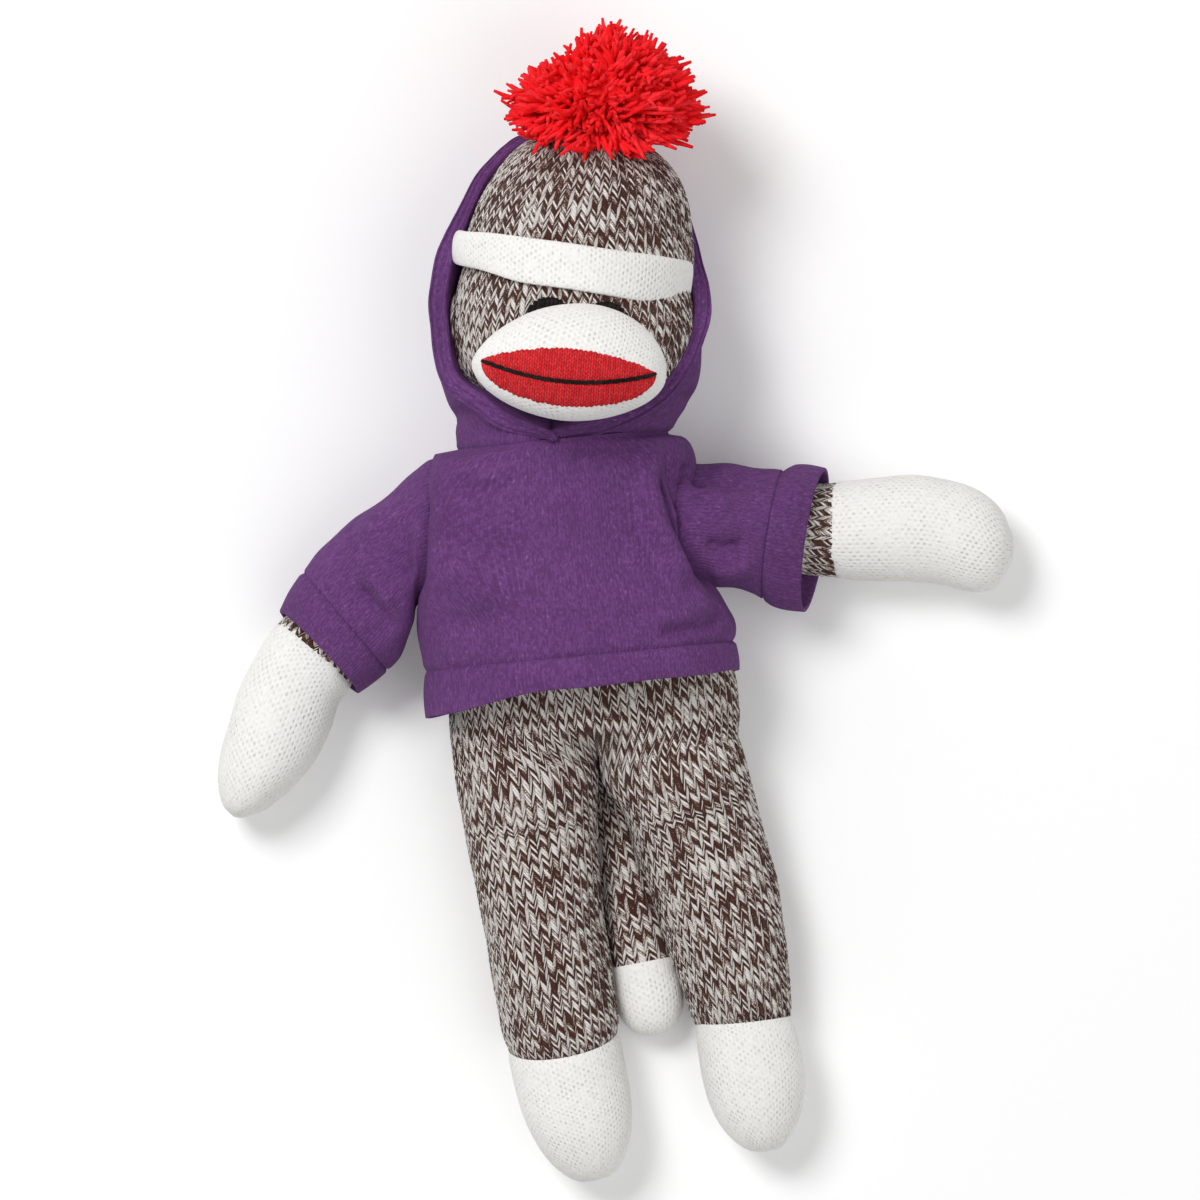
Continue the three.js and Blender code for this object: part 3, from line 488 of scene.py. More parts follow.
def white_knit():
    """White knit whose stitches have felted together, so that only small holes show, in staggered columns."""
    shade = Shade("white_knit", sheen=0.05)
    u, v = shade.uv()
    column = shade.floor(u)
    odd = shade.math("FLOORED_MODULO", column, 2.0)
    lifted = shade.add(v, shade.times(odd, 0.5))
    row = shade.floor(lifted)
    x = shade.less(shade.less(u, column), 0.5)
    y = shade.less(shade.less(lifted, row), 0.5)
    far = shade.add(shade.times(shade.times(x, x), 7.0), shade.times(shade.times(y, y), 7.0))
    hole = shade.math("POWER", 2.718, shade.times(far, -3.0))
    single = shade.white_noise(shade.vector(column, row))
    patch = shade.noise(shade.place(), scale=70.0, detail=2.0)
    strong = shade.math("MULTIPLY_ADD", single, 0.7, shade.math("MULTIPLY_ADD", patch, 1.6, -0.55))
    hole = shade.times(hole, shade.math("MAXIMUM", strong, 0.12))
    fuzz = shade.noise(shade.place(), scale=900.0, detail=3.0)
    base = shade.ramp(fuzz, [(0.3, "#f0efeb"), (0.62, "#faf9f6")])
    shade.bump(shade.add(shade.times(hole, -1.0), shade.times(fuzz, 0.5)), 0.3)
    # Painted shade: the colour is darker in the small holes.
    return shade.finish(shade.shaded(base, shade.math("MULTIPLY_ADD", hole, -0.17, 1.0)))


def jersey():
    """Brushed sweatshirt jersey: fine columns, a grain of lighter and darker fibres, and a little lint."""
    shade = Shade("sweatshirt", sheen=0.1, sheen_tint="#a07ab0")
    u, v = shade.uv()
    knit = stitches(shade, 0.5, 0.65, 0.65)
    fleck = shade.noise(shade.vector(shade.times(u, 1.5), shade.times(v, 1.3)), detail=2.0)
    single = shade.white_noise(shade.vector(knit.half, knit.row))
    cloud = shade.noise(shade.place(), scale=38.0, detail=3.0)
    fuzz = shade.noise(shade.place(), scale=1500.0, detail=2.0)
    speck = shade.white_noise(shade.vector(knit.half, shade.add(knit.row, 17.0)))
    lint = shade.math("GREATER_THAN", speck, 0.988)
    tone = shade.math("MULTIPLY_ADD", fleck, 0.26, 0.07)
    # Painted light and shade: the tone rises and falls across each rib.
    rib = shade.math("SINE", shade.times(u, 2 * math.pi))
    for part, weight in ((single, 0.2), (cloud, 0.24), (fuzz, 0.16), (lint, 0.12), (rib, 0.02)):
        tone = shade.add(tone, shade.times(part, weight))
    base = shade.ramp(tone, [(0.3, "#543160"), (0.46, "#633a6f"), (0.6, "#714580"), (0.78, "#8a5c97")])
    shade.bump(shade.add(shade.times(rib, 0.35), shade.times(fuzz, 0.4)), 0.13)
    # Painted shade: the colour is darker in the gaps between stitches.
    return shade.finish(shade.shaded(base, shade.add(shade.times(knit.height, 0.3), 0.8)))


def yarn(name, stops, depth):
    """Twisted yarn: its plies wind round it, and each length has its own tone."""
    shade = Shade(name)
    u, v = shade.uv()
    own = shade.white_noise(shade.vector(shade.floor(u), 3.0))
    wind = shade.math("SINE", shade.add(shade.times(u, 4 * math.pi), shade.times(v, 34.0)))
    hair = shade.noise(shade.place(), scale=1500.0, detail=2.0)
    tone = shade.add(shade.times(own, 0.45), shade.times(hair, 0.45))
    # Painted light and shade: the tone rises and falls with the plies' twist, darker in the grooves between
    # them.
    tone = shade.add(tone, shade.times(wind, 0.07))
    base = shade.ramp(tone, stops)
    shade.bump(shade.add(shade.times(wind, 0.5), hair), depth)
    return shade.finish(base)


MARL = marl_knit("marl_knit", 0.53)
HEAD_MARL = marl_knit("head_marl_knit", 0.505)
WHITE = white_knit()
RED = red_knit()
JERSEY = jersey()
RED_YARN = yarn("red_yarn", [(0.2, "#fb171e"), (0.45, "#ff222a"), (0.75, "#ff4046")], 0.15)
BLACK_YARN = yarn("black_yarn", [(0.2, "#100d0d"), (0.7, "#2b2523")], 0.25)
WHITE_YARN = yarn("white_yarn", [(0.2, "#dcdad4"), (0.7, "#f3f1ec")], 0.2)


def belongs(piece, body, *nodes):
    """The piece stands for these nodes and, if a body is given, rides on it."""
    if body:
        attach(piece, body)
    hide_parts(*nodes)


# Legs and tail: tubes round a spine that lies on the table


class Spine:
    """The line through a limb's middle, which turns evenly from its first heading to its last, in degrees."""

    def __init__(self, root, length, headings, forward, side, height):
        steps = 120
        distance = np.linspace(0, length, steps + 1)
        share = (distance[1:] + distance[:-1]) / 2 / length
        turn = np.radians(headings[0] + (headings[1] - headings[0]) * share)
        ahead = np.cos(turn)[:, None] * forward + np.sin(turn)[:, None] * side
        self.path = np.concatenate([[root], root + np.cumsum(ahead * length / steps, 0)])
        self.path[:, 2] = height(distance)
        self.along = run_along(self.path)

    def at(self, distance):
        """The points at a distance along it, and its direction there."""
        distance = np.asarray(distance, float)
        held = np.clip(distance, 0, self.along[-1])
        read = lambda values: joined(*(np.interp(held, self.along, values[:, k]) for k in range(3)))
        forward = read(np.gradient(self.path, self.along, axis=0))
        forward /= np.linalg.norm(forward, axis=-1, keepdims=True)
        return read(self.path) + forward * (distance - held)[..., None], forward


def lying(rows, root, sunk):
    """The height of a limb's middle along it, from its root's height to where it lies on the table."""

    def height(distance):
        lie = through(rows, distance)[..., 1] - sunk
        return root[2] + (lie - root[2]) * smooth(distance, 0, 20)

    return height


def tube(spine, distance, angle, half_width, half_depth, shear=0.0, rake=0.0, shift=0.0):
    """A grid of rings. Angle 0 is the side at the spine's right hand, and 90 degrees is up.

    Shear and rake lean the rings along the spine, by side and by height, and shift moves them sideways.
    """
    distance, angle = np.broadcast_arrays(distance, angle)
    across = shift + np.cos(angle) * half_width
    lean = shear * np.cos(angle) * half_width + rake * np.sin(angle) * half_depth
    centre, forward = spine.at(distance + lean)
    up = np.array([0.0, 0.0, 1.0]) - forward * forward[..., 2:]
    up /= np.linalg.norm(up, axis=-1, keepdims=True)
    side = np.cross(forward, up)
    return centre + side * across[..., None] + up * (np.sin(angle) * half_depth)[..., None]


def turns(columns):
    return np.arange(columns) * 2 * math.pi / columns


def domed(distance, rows, dome, length):
    """Half width and half depth along a limb whose end closes like a dome."""
    sizes = through(rows, np.minimum(distance, length))
    share = np.clip((distance - dome) / (length - dome), 0, 1)
    return sizes * np.sqrt(np.maximum(1 - share**2.2, 0))[..., None]


def white_end(name, body, grid, tip, distance, girth):
    """The white knit that closes the end of a limb."""
    u = around_u(grid.shape[1], dot_columns(girth))
    uv = joined(u, -distance / DOT_ROW)
    piece = surface(name, grid, uv, WHITE, around=True, pole_end=tip)
    belongs(piece, body, name)


X = np.array([1.0, 0.0, 0.0])
Y = np.array([0.0, 1.0, 0.0])

# Legs and hips. Each half of the hips runs down into its leg in one piece of knit.

LEG_LENGTH = {"left": 84.5, "right": 84.4}
FOOT_LENGTH = {"left": 40.0, "right": 43.6}
LEG_HEADINGS = {"left": (13, 2), "right": (0, -8)}
LEG_LEAN = {"left": (-0.12, 0.0), "right": (0.0, 0.31)}  # of the ankle seam, by side and by height
TOE_SHIFT = {"left": 0.0, "right": -0.8}
# Rows are [distance down the leg, half width, half depth].
LEG_ROWS = {
    "left": [
        [0, 20.4, 18.6],
        [25, 19.6, 17.4],
        [45, 18.6, 16.8],
        [58, 17.6, 16.4],
        [72, 16.0, 15.6],
        [84.5, 14.5, 14.7],
        [92, 14.9, 15.0],
        [124.5, 15.2, 15.2],
    ],
    "right": [
        [0, 20.8, 18.6],
        [25, 19.6, 17.4],
        [55, 18.2, 16.6],
        [75, 17.6, 16.0],
        [84.4, 16.9, 15.6],
        [100, 16.4, 15.6],
        [128, 16.2, 15.6],
    ],
}
CHEST_TOP = 22.0  # where the knit ends, inside the sweatshirt
BACK_LIFT = 2.6  # of the body's back, off the sweatshirt that lies under it
# Rows are [y, half width, height of the front].
HIP_ROWS = [
    [-62, 43.2, 39.6],
    [-54, 44.0, 41.6],
    [-46, 44.0, 44.4],
    [-36, 43.0, 49.5],
    [-24, 41.0, 54.0],
    [-8, 36.0, 54.0],
    [10, 29.0, 52.0],
    [22, 20.0, 47.0],
]
HIP_HALVES = (44, 21)  # half width and depth of the hips, over which the stitches are spaced evenly
HIP_ROUND = 0.9  # 1 is an ellipse, and less is fuller at the sides
HIP_TO_LEG = (-11, 7)  # where the hips turn into a leg, down from its joint
LEGS_PART = 14  # how far below the joint the legs are apart
LEG_WALES = 39


def leg_spine(side):
    length = LEG_LENGTH[side] + FOOT_LENGTH[side]
    height = lying(LEG_ROWS[side], HIPS[side], 0.6)
    return Spine(HIPS[side], length, LEG_HEADINGS[side], -Y, SIDES[side] * X, height)


def hip_and_leg(side):
    """One half of the body and the leg below it, knitted in one piece from the shoulders down."""
    sign = SIDES[side]
    spine = leg_spine(side)
    drop = CHEST_TOP - HIPS[side][1]
    total = drop + LEG_LENGTH[side]
    columns = LEG_WALES * STITCH_POINTS
    path = np.linspace(0, total, round(total / COURSE) * STITCH_POINTS + 1)[:, None]
    share = np.linspace(0, 1, columns + 1)[None]
    y = CHEST_TOP - np.minimum(path, drop)
    below = np.maximum(path - drop, 0)

    half_width, front = each_through(HIP_ROWS, y)
    wide, deep = HIP_HALVES
    fine = np.linspace(0, np.pi, 400)
    arc = run_along(joined(wide * np.sin(fine) ** HIP_ROUND, deep * np.cos(fine)))
    around = np.pi / 2 - np.interp(share, arc / arc[-1], fine)
    bulge = np.abs(np.cos(around)) ** HIP_ROUND
    back = BACK_LIFT * smooth(y, -40, -30)
    height = back + (front - back) / 2 * (1 + np.sin(around))
    hips = joined(sign * half_width * bulge, y, height)

    sizes = through(LEG_ROWS[side], below)
    turn = np.pi * 2 * share if sign > 0 else np.pi * (1 - 2 * share)
    shear, rake = LEG_LEAN[side]
    lean = smooth(below, 0, LEG_LENGTH[side])
    leg = tube(spine, below, turn, sizes[..., 0], sizes[..., 1], shear * lean, rake * lean)
    leg = leg + np.maximum(drop - path, 0)[..., None] * Y
    mixed = smooth(path, *(drop + far for far in HIP_TO_LEG))[..., None]
    grid = hips + (leg - hips) * mixed

    edge = bell(np.minimum(share, 1 - share) / 0.07)
    apart = smooth(path, drop, drop + LEGS_PART)
    inner = sign * grid[..., 0]
    grid[..., 0] = sign * np.maximum(inner - np.maximum(inner[:, :1], 0) * edge * (1 - apart), 0.02)

    u = sign * LEG_WALES * share
    v = -path / COURSE
    lumps = 0.5 * waves(grid, scale=42, seed=11 + sign) + 0.22 * waves(grid, scale=14, seed=21 + sign)
    fade = 1 - edge * (1 - apart)
    relief = stitch_relief(u, v)
    pucker = -0.8 * bell((path - total) / 2.2)
    grid = on_table(moved_out(grid, lumps * fade + pucker + relief, around=False))
    piece = surface(f"hip_and_leg_{side}", grid, joined(u, v), MARL)
    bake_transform(piece)
    inside = "torso_skin" if side == "left" else "torso_fill"
    belongs(piece, None, f"leg_skin_{side}", f"leg_fill_{side}", inside)


def foot(side):
    seam = LEG_LENGTH[side]
    length = seam + FOOT_LENGTH[side]
    share = np.linspace(0, 1, 64) ** 0.8
    distance = (seam - 0.6 + (length - seam + 0.4) * share)[:, None]
    sizes = domed(distance, LEG_ROWS[side], length - 30, length)
    sizes = sizes + 0.5 * smooth(distance, seam - 0.5, seam + 3)[..., None]
    shear, rake = LEG_LEAN[side]
    lean = 1 - smooth(distance, seam + 4, length - 8)
    toe = TOE_SHIFT[side] * smooth(distance, seam + 6, length)
    angle = turns(100)[None]
    half_width, half_depth = np.moveaxis(sizes, -1, 0)
    grid = tube(leg_spine(side), distance, angle, half_width, half_depth, shear * lean, rake * lean, toe)
    grid = on_table(moved_out(grid, 0.35 * waves(grid, scale=26, seed=31 + SIDES[side]), around=True))
    girth = 2 * math.pi * 16.5
    white_end(f"foot_{side}", f"leg_{side}", grid[:-1], grid[-1].mean(0), distance[:-1], girth)


# Tail

TAIL_LENGTH = 68
TAIL_TIP = 22
TAIL_HEADINGS = (7, 5)
# Rows are [distance down the tail, half width, half depth].
TAIL_ROWS = [[0, 5, 5], [17, 6, 5.2], [40, 8.2, 7.2], [68, 10, 8.8], [90, 10.2, 9]]


def tail():
    root = joint_at["tail_swing"]
    length = TAIL_LENGTH + TAIL_TIP
    spine = Spine(root, length, TAIL_HEADINGS, -Y, X, lying(TAIL_ROWS, root, 0.5))
    wales = 17
    distance = np.linspace(4, TAIL_LENGTH, round(TAIL_LENGTH / COURSE) * 3)[:, None]
    half_width, half_depth = each_through(TAIL_ROWS, distance)
    grid = tube(spine, distance, turns(wales * STITCH_POINTS)[None], half_width, half_depth)
    u = stitch_u(wales)
    v = -distance / COURSE
    grid = on_table(moved_out(grid, stitch_relief(u[:, :-1], v), around=True))
    start = spine.at(distance[0])[0][0]
    piece = surface("tail", grid, joined(u, v), MARL, around=True, pole_start=start)
    belongs(piece, "tail", "tail_skin", "tail_fill")

    distance = (TAIL_LENGTH - 0.5 + (TAIL_TIP + 0.4) * np.linspace(0, 1, 44) ** 0.8)[:, None]
    sizes = domed(distance, TAIL_ROWS, length - 13, length) + 0.3
    grid = on_table(tube(spine, distance, turns(64)[None], sizes[..., 0], sizes[..., 1]))
    tip = spine.at(np.array([length]))[0][0]
    white_end("tail_tip", "tail", grid[:-1], tip, distance[:-1], 2 * math.pi * 9.5)


# Arms, sleeves and cuffs. Each is a run of rings that hang between two edges, as they are seen from above.
# Rows are [share of the way, x and y of the edge nearer the head, x and y of the edge nearer the feet,
# middle's height, half depth, rake].

# The sleeve runs from its armhole, 0, to the cuff's seam, 1, and the cuff from there to its lip, 2.
SLEEVE_ROWS = {
    "left": [
        [-0.16, 26.4, 25.6, 32.2, -12.0, 30.0, 16.6, 0],
        [0, 30.6, 26.6, 36.4, -11.4, 30.0, 17.4, 0],
        [0.25, 39.5, 25.3, 41.0, -12.4, 29.3, 17.8, 0],
        [0.5, 48.0, 24.5, 45.8, -13.0, 28.0, 17.6, -0.04],
        [0.75, 56.0, 22.8, 50.0, -14.6, 26.2, 17.3, -0.08],
        [1, 63.5, 21.4, 53.6, -16.8, 24.2, 17.2, -0.12],
        [1.3, 67.5, 22.0, 57.0, -19.0, 22.6, 17.2, -0.14],
        [2, 76.2, 20.4, 66.0, -21.8, 18.9, 16.9, -0.2],
    ],
    "right": [
        [-0.16, -35.4, 33.0, -43.8, -8.6, 30.0, 16.8, 0],
        [0, -41.4, 34.4, -49.6, -8.6, 30.0, 18.0, 0],
        [0.14, -46.6, 31.6, -51.4, -13.0, 29.4, 18.4, 0],
        [0.34, -55.6, 24.6, -53.4, -18.2, 27.6, 18.4, 0],
        [0.6, -66.8, 18.6, -56.2, -23.6, 25.0, 17.9, 0],
        [0.82, -76.4, 11.4, -58.8, -26.2, 22.6, 17.4, 0],
        [1, -83.4, 4.4, -60.8, -27.4, 20.9, 17.1, 0],
        [2, -91.6, -6.9, -70.3, -33.8, 17.2, 16.6, -0.1],
    ],
}
# The arm runs from inside the shoulder, 0, to the paw's seam, 1, and the paw from there to its tip, 2.
ARM_ROWS = {
    "left": [
        [0, 42.0, 20.0, 40.0, 2.0, 29.5, 9.0, 0],
        [0.3, 52.0, 18.4, 50.0, -4.0, 27.0, 11.4, 0],
        [0.7, 68.0, 16.8, 65.6, -10.4, 20.0, 13.2, 0],
        [1, 79.0, 16.2, 76.8, -12.6, 15.2, 14.0, -0.12],
        [1.22, 92.0, 16.7, 89.0, -14.5, 14.2, 14.6, -0.06],
        [1.4, 101.6, 16.2, 98.6, -15.4, 14.1, 14.7, 0],
        [1.56, 109.8, 14.5, 106.9, -17.2, 14.1, 14.7, 0],
        [1.72, 117.5, 11.8, 113.4, -19.8, 14.0, 14.4, 0],
        [1.86, 124.3, 7.4, 120.3, -21.0, 13.8, 13.2, 0],
        [1.95, 128.6, 2.0, 125.8, -18.8, 13.4, 10.0, 0],
        [2, 130.8, -5.6, 130.2, -11.6, 13.2, 3.4, 0],
    ],
    "right": [
        [0, -52.0, 13.0, -44.0, -1.0, 29.0, 9.0, 0],
        [0.3, -64.0, 8.4, -50.6, -9.0, 26.0, 11.6, 0],
        [0.7, -82.2, -1.6, -62.8, -22.4, 19.6, 13.2, 0],
        [1, -92.6, -10.4, -72.4, -31.2, 15.6, 14.0, -0.08],
        [1.2, -99.7, -19.2, -76.5, -35.4, 14.4, 14.6, -0.04],
        [1.4, -106.9, -30.6, -79.9, -43.4, 14.1, 14.7, 0],
        [1.6, -111.7, -42.2, -85.7, -52.6, 14.1, 14.7, 0],
        [1.76, -114.2, -51.6, -91.2, -59.0, 14.0, 13.9, 0],
        [1.88, -114.9, -58.4, -97.3, -63.6, 13.7, 11.8, 0],
        [1.96, -114.0, -63.9, -103.9, -66.8, 13.3, 8.2, 0],
        [2, -111.4, -67.2, -109.2, -67.8, 13.0, 2.4, 0],
    ],
}
SLEEVE_LENGTH = {"left": 29.0, "right": 38.0}
CUFF = {"left": 12.5, "right": 13.0}
ARM_LENGTH = {"left": 38.0, "right": 50.0}
PAW_LENGTH = {"left": 54.0, "right": 48.0}
# Two distances along a line out through the armhole, at which points are worked out but not used.
ARMHOLE_WAY = {"left": np.array([0.98, 0.2, 0.0]), "right": np.array([-0.984, 0.18, 0.0])}
SLEEVE_BENDS = {"left": (34.5, 55.0), "right": (47.0, 55.5)}
SLEEVE_COLUMNS = 160  # of the mesh
SLEEVE_WALES = round(2 * math.pi * 18 / JERSEY_WALE)


def between(rows, side, share, angle, swell=0.0):
    """A grid of rings that hang between the edges in the rows. Swell makes them larger all round."""
    row = through(rows, share)
    first = row[..., 0:2]
    second = row[..., 2:4]
    middle = (first + second) / 2
    reach = (first - second) / 2
    half = np.linalg.norm(reach, axis=-1, keepdims=True)
    ahead = SIDES[side] * np.stack([reach[..., 1], -reach[..., 0]], -1) / half
    swell = np.asarray(swell)
    deep = np.maximum(row[..., 5] + swell, 0.3)
    reach = reach * np.maximum(1 + swell[..., None] / half, 0.05)
    plan = middle + reach * np.cos(angle)[..., None] + ahead * (row[..., 6] * deep * np.sin(angle))[..., None]
    z = row[..., 4] + deep * np.sin(angle)
    return np.concatenate([plan, np.broadcast_to(z, plan.shape[:2])[..., None]], -1)


def arm(side):
    wales = 28
    share = np.linspace(0, 1, 90)[:, None]
    grid = between(ARM_ROWS[side], side, share, turns(wales * STITCH_POINTS)[None])
    start = grid[0].mean(0)
    u = stitch_u(wales)
    v = -share * ARM_LENGTH[side] / COURSE
    grid = on_table(moved_out(grid, stitch_relief(u[:, :-1], v, 1.2), around=True))
    piece = surface(f"arm_{side}", grid, joined(u, v), MARL, around=True, pole_start=start)
    belongs(piece, f"arm_{side}", f"arm_skin_{side}", f"arm_fill_{side}")


def paw(side):
    """It is frayed and a little drawn in at its seam."""
    straight = np.linspace(-0.02, 0.7, 46)
    rounded = 0.7 + 0.3 * np.sin(np.linspace(0, 0.5, 27)[1:] * math.pi)
    share = 1 + np.concatenate([straight, rounded])[:, None]
    angle = turns(96)[None]
    drawn_in = 0.15 - 0.7 * bell((share - 0.985) / 0.02)
    frayed = 0.01 * (np.sin(5 * angle + 1) + 0.7 * np.sin(11 * angle) + 0.6 * np.sin(24 * angle + 2))
    past_seam = smooth(share, 1, 1.1)
    grid = between(ARM_ROWS[side], side, share + frayed * (1 - past_seam), angle, drawn_in)
    fade = past_seam * smooth(2 - share, 0, 0.1)
    grid = on_table(moved_out(grid, 0.35 * waves(grid, scale=24, seed=41 + SIDES[side]) * fade, around=True))
    distance = share * PAW_LENGTH[side]
    white_end(f"paw_{side}", f"arm_{side}", grid, grid[-1].mean(0), distance, 2 * math.pi * 15)


# Rows are a path of points [x, y], how far it stands out, and its width.
SLEEVE_CREASES = {
    "left": [
        ([(31, 25.6), (35.6, 22.6), (39, 17)], -2.2, 1.7),
        ([(34, 20), (40, 14), (47, 12)], 1.3, 2.6),
        ([(37, 2), (43, -1), (51, 0)], -1.4, 2.2),
        ([(38, -7), (44, -7.5), (52, -6)], 1.2, 2.0),
        ([(36, 24), (44, 19), (54, 18)], -1.2, 2.4),
    ],
    "right": [
        ([(-49, -2), (-53, 5), (-52, 14)], -1.6, 2.6),
        ([(-56, -9), (-62, 0), (-64, 9)], 1.3, 3.4),
        ([(-56, -17), (-62, -9), (-69, 0)], -1.2, 2.4),
        ([(-50, 22), (-58, 18), (-66, 12)], 1.1, 3.6),
    ],
}


def bends_at_armhole(piece, side):
    start, end = (tuple(ARMHOLE_WAY[side] * far * MM) for far in SLEEVE_BENDS[side])
    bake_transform(piece)
    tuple(start)
    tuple(end)


def sleeve(side):
    angle = turns(SLEEVE_COLUMNS)[None]
    share = np.concatenate([np.linspace(-0.16, 1, 94), [1.02, 1.06, 1.12]])[:, None]
    tucked = -1.1 * smooth(share, 0.965, 1.03)
    grid = between(SLEEVE_ROWS[side], side, share, angle, tucked)
    folds = 0.5 * waves(grid * [1, 1, 0.6], scale=24, seed=51 + SIDES[side], count=4)
    folds += 0.25 * waves(grid, scale=11, seed=57 + SIDES[side], count=4)
    folds += creases(grid, SLEEVE_CREASES[side])
    fade = smooth(share, 0.02, 0.2) * smooth(1 - share, 0.03, 0.16)
    grid = on_table(moved_out(grid, folds * fade, around=True))
    arc = around_u(SLEEVE_COLUMNS, SLEEVE_WALES)
    uv = joined(arc, -share * SLEEVE_LENGTH[side] / JERSEY_WALE)
    piece = surface(f"sleeve_{side}", grid, uv, JERSEY, around=True)
    bends_at_armhole(piece, side)
    belongs(piece, None, f"sleeve_{side}")


def turned_up(proud, sunk, full, seam):
    """Shares of the way down a turned-up edge, round its lip and up inside, and how far out each lies."""
    outer = np.linspace(0, 1, 26)
    inner = np.linspace(0.98, 0.1, 12)
    along = np.concatenate([outer, [1.02, 1.03, 1.02], inner])
    lift = proud - sunk * (1 - smooth(outer, *seam)) + full * np.sin(math.pi * outer)
    lip = proud + np.array([-0.1, -0.7, -1.3])
    lift = np.concatenate([lift, lip, np.full(len(inner), -1.3)])
    return along[:, None], lift[:, None]


def cuff(side):
    angle = turns(SLEEVE_COLUMNS)[None]
    along, lift = turned_up(proud=0.2, sunk=0.9, full=0.4, seam=(-0.04, 0.1))
    grid = between(SLEEVE_ROWS[side], side, 1 + 0.97 * along, angle, lift)
    ripple = 0.4 * waves(grid, scale=25, seed=61 + SIDES[side], count=4) * smooth(along, 0, 0.6)
    grid = on_table(grid + normals_ring(grid) * ripple[..., None])
    arc = around_u(SLEEVE_COLUMNS, SLEEVE_WALES)
    uv = joined(arc, -(SLEEVE_LENGTH[side] + CUFF[side] * along) / JERSEY_WALE)
    piece = surface(f"cuff_{side}", grid, uv, JERSEY, around=True)
    bends_at_armhole(piece, side)
    belongs(piece, None, f"cuff_{side}")


def normals_ring(grid):
    """Directions from each ring's middle to its points."""
    out = grid - grid.mean(1, keepdims=True)
    return out / np.linalg.norm(out, axis=-1, keepdims=True)


# Sweatshirt body and bottom hem

CHEST_X = -2.5
HEM_TOP = -28.3
NECKLINE = 31.2  # radius of its upper edge
# Rows are [y, half width on the monkey's right, on its left, half depth, middle's height].
HOODIE_ROWS = [
    [-31, 47.4, 46.4, 30.4, 29.9],
    [-22, 46.4, 46.8, 30.4, 29.9],
    [-12, 45.4, 42.6, 30.4, 29.9],
    [-2, 45.0, 39.8, 30.4, 29.9],
    [12, 44.2, 39.4, 30.4, 29.9],
    [24, 42.4, 40.2, 30.6, 30.2],
    [30, 40.8, 39.6, 31.2, 30.9],
    [33.6, 38.4, 37.4, 31.8, 31.3],
    [36, 31.0, 33.0, 32.0, 31.5],
]
ARMHOLE = 19.4  # half depth of the seam round the sleeve's head
BODY_COLUMNS = 240  # of the mesh
BODY_GIRTH = 240
BODY_WALES = round(BODY_GIRTH / JERSEY_WALE)
HEM_HALF = {"left": 46.4, "right": 46.6}  # half widths
HEM_DEPTH = 30.4  # half depth
HEM_MIDDLE = 29.9  # height
HEM_LENGTH = 10


def armhole_out(side, y):
    """How far out of the middle that seam lies, which is further out towards the feet."""
    return 30.9 + 0.21 * (26 - y) if side == "left" else 41.1 + 0.19 * (24 - y)


def hem_low(x):
    """The hem's lower edge, which hangs lower at the monkey's right."""
    return -37.2 - 4.8 * smooth(-x, 8, 52) + 0.004 * (x - CHEST_X)


def creased(grid, path, depth, width):
    """How far a crease or ridge along a path of points [x, y] moves each point of the front."""
    path = np.asarray(path, float)
    run = run_along(path)
    best = np.full(grid.shape[:2], np.inf)
    place = np.zeros(grid.shape[:2])
    for a, b, start, end in zip(path[:-1], path[1:], run[:-1], run[1:]):
        to = grid[..., :2] - a
        t = np.clip((to @ (b - a)) / (end - start) ** 2, 0, 1)
        away = np.linalg.norm(to - t[..., None] * (b - a), axis=-1)
        nearer = away < best
        best = np.where(nearer, away, best)
        place = np.where(nearer, start + t * (end - start), place)
    ends = 0.25 * run[-1]
    taper = smooth(place, 0, ends) * smooth(run[-1] - place, 0, ends)
    front = smooth(grid[..., 2], 22, 36)
    return 1.7 * depth * bell(best / width) * (0.15 + 0.85 * taper) * front


def creases(grid, rows):
    return sum(creased(grid, *row) for row in rows)


# Rows are as those of the sleeves' creases.
BODY_CREASES = [
    ([(-43.4, 27), (-43.8, 20), (-45, 11), (-47.4, 3), (-49.4, -8)], -1.5, 2.0),
    ([(-40, 22), (-30, 13), (-16, 9)], 0.9, 4.6),
    ([(-43, 2), (-30, -6), (-14, -9)], 0.9, 4.4),
    ([(-45, -12), (-36, -16), (-22, -17)], -0.8, 3.4),
    ([(28.7, 29), (27.5, 21.5), (29.5, 10.6), (32.8, 2.9), (34.7, -4.6), (36.7, -13)], -2.2, 2.2),
    ([(34.6, 27), (32.9, 19.8), (33.7, 14)], -1.5, 1.6),
    ([(24.4, 30), (23, 20), (24.6, 8), (29, -3), (34, -13)], 1.7, 3.2),
    ([(21, 28), (17, 18), (19, 6), (25, -6)], -0.9, 3.4),
    ([(40, -14), (32, -18), (18, -20)], 1.3, 3.8),
    ([(42, -20), (34, -23.5), (20, -25)], -1.1, 2.4),
    ([(26, -8), (18, -13), (4, -15)], 0.8, 4.0),
    ([(26, 31), (12, 28), (-4, 30)], -0.9, 3.2),
    ([(-36, 31), (-26, 27), (-14, 29)], 0.9, 3.0),
]


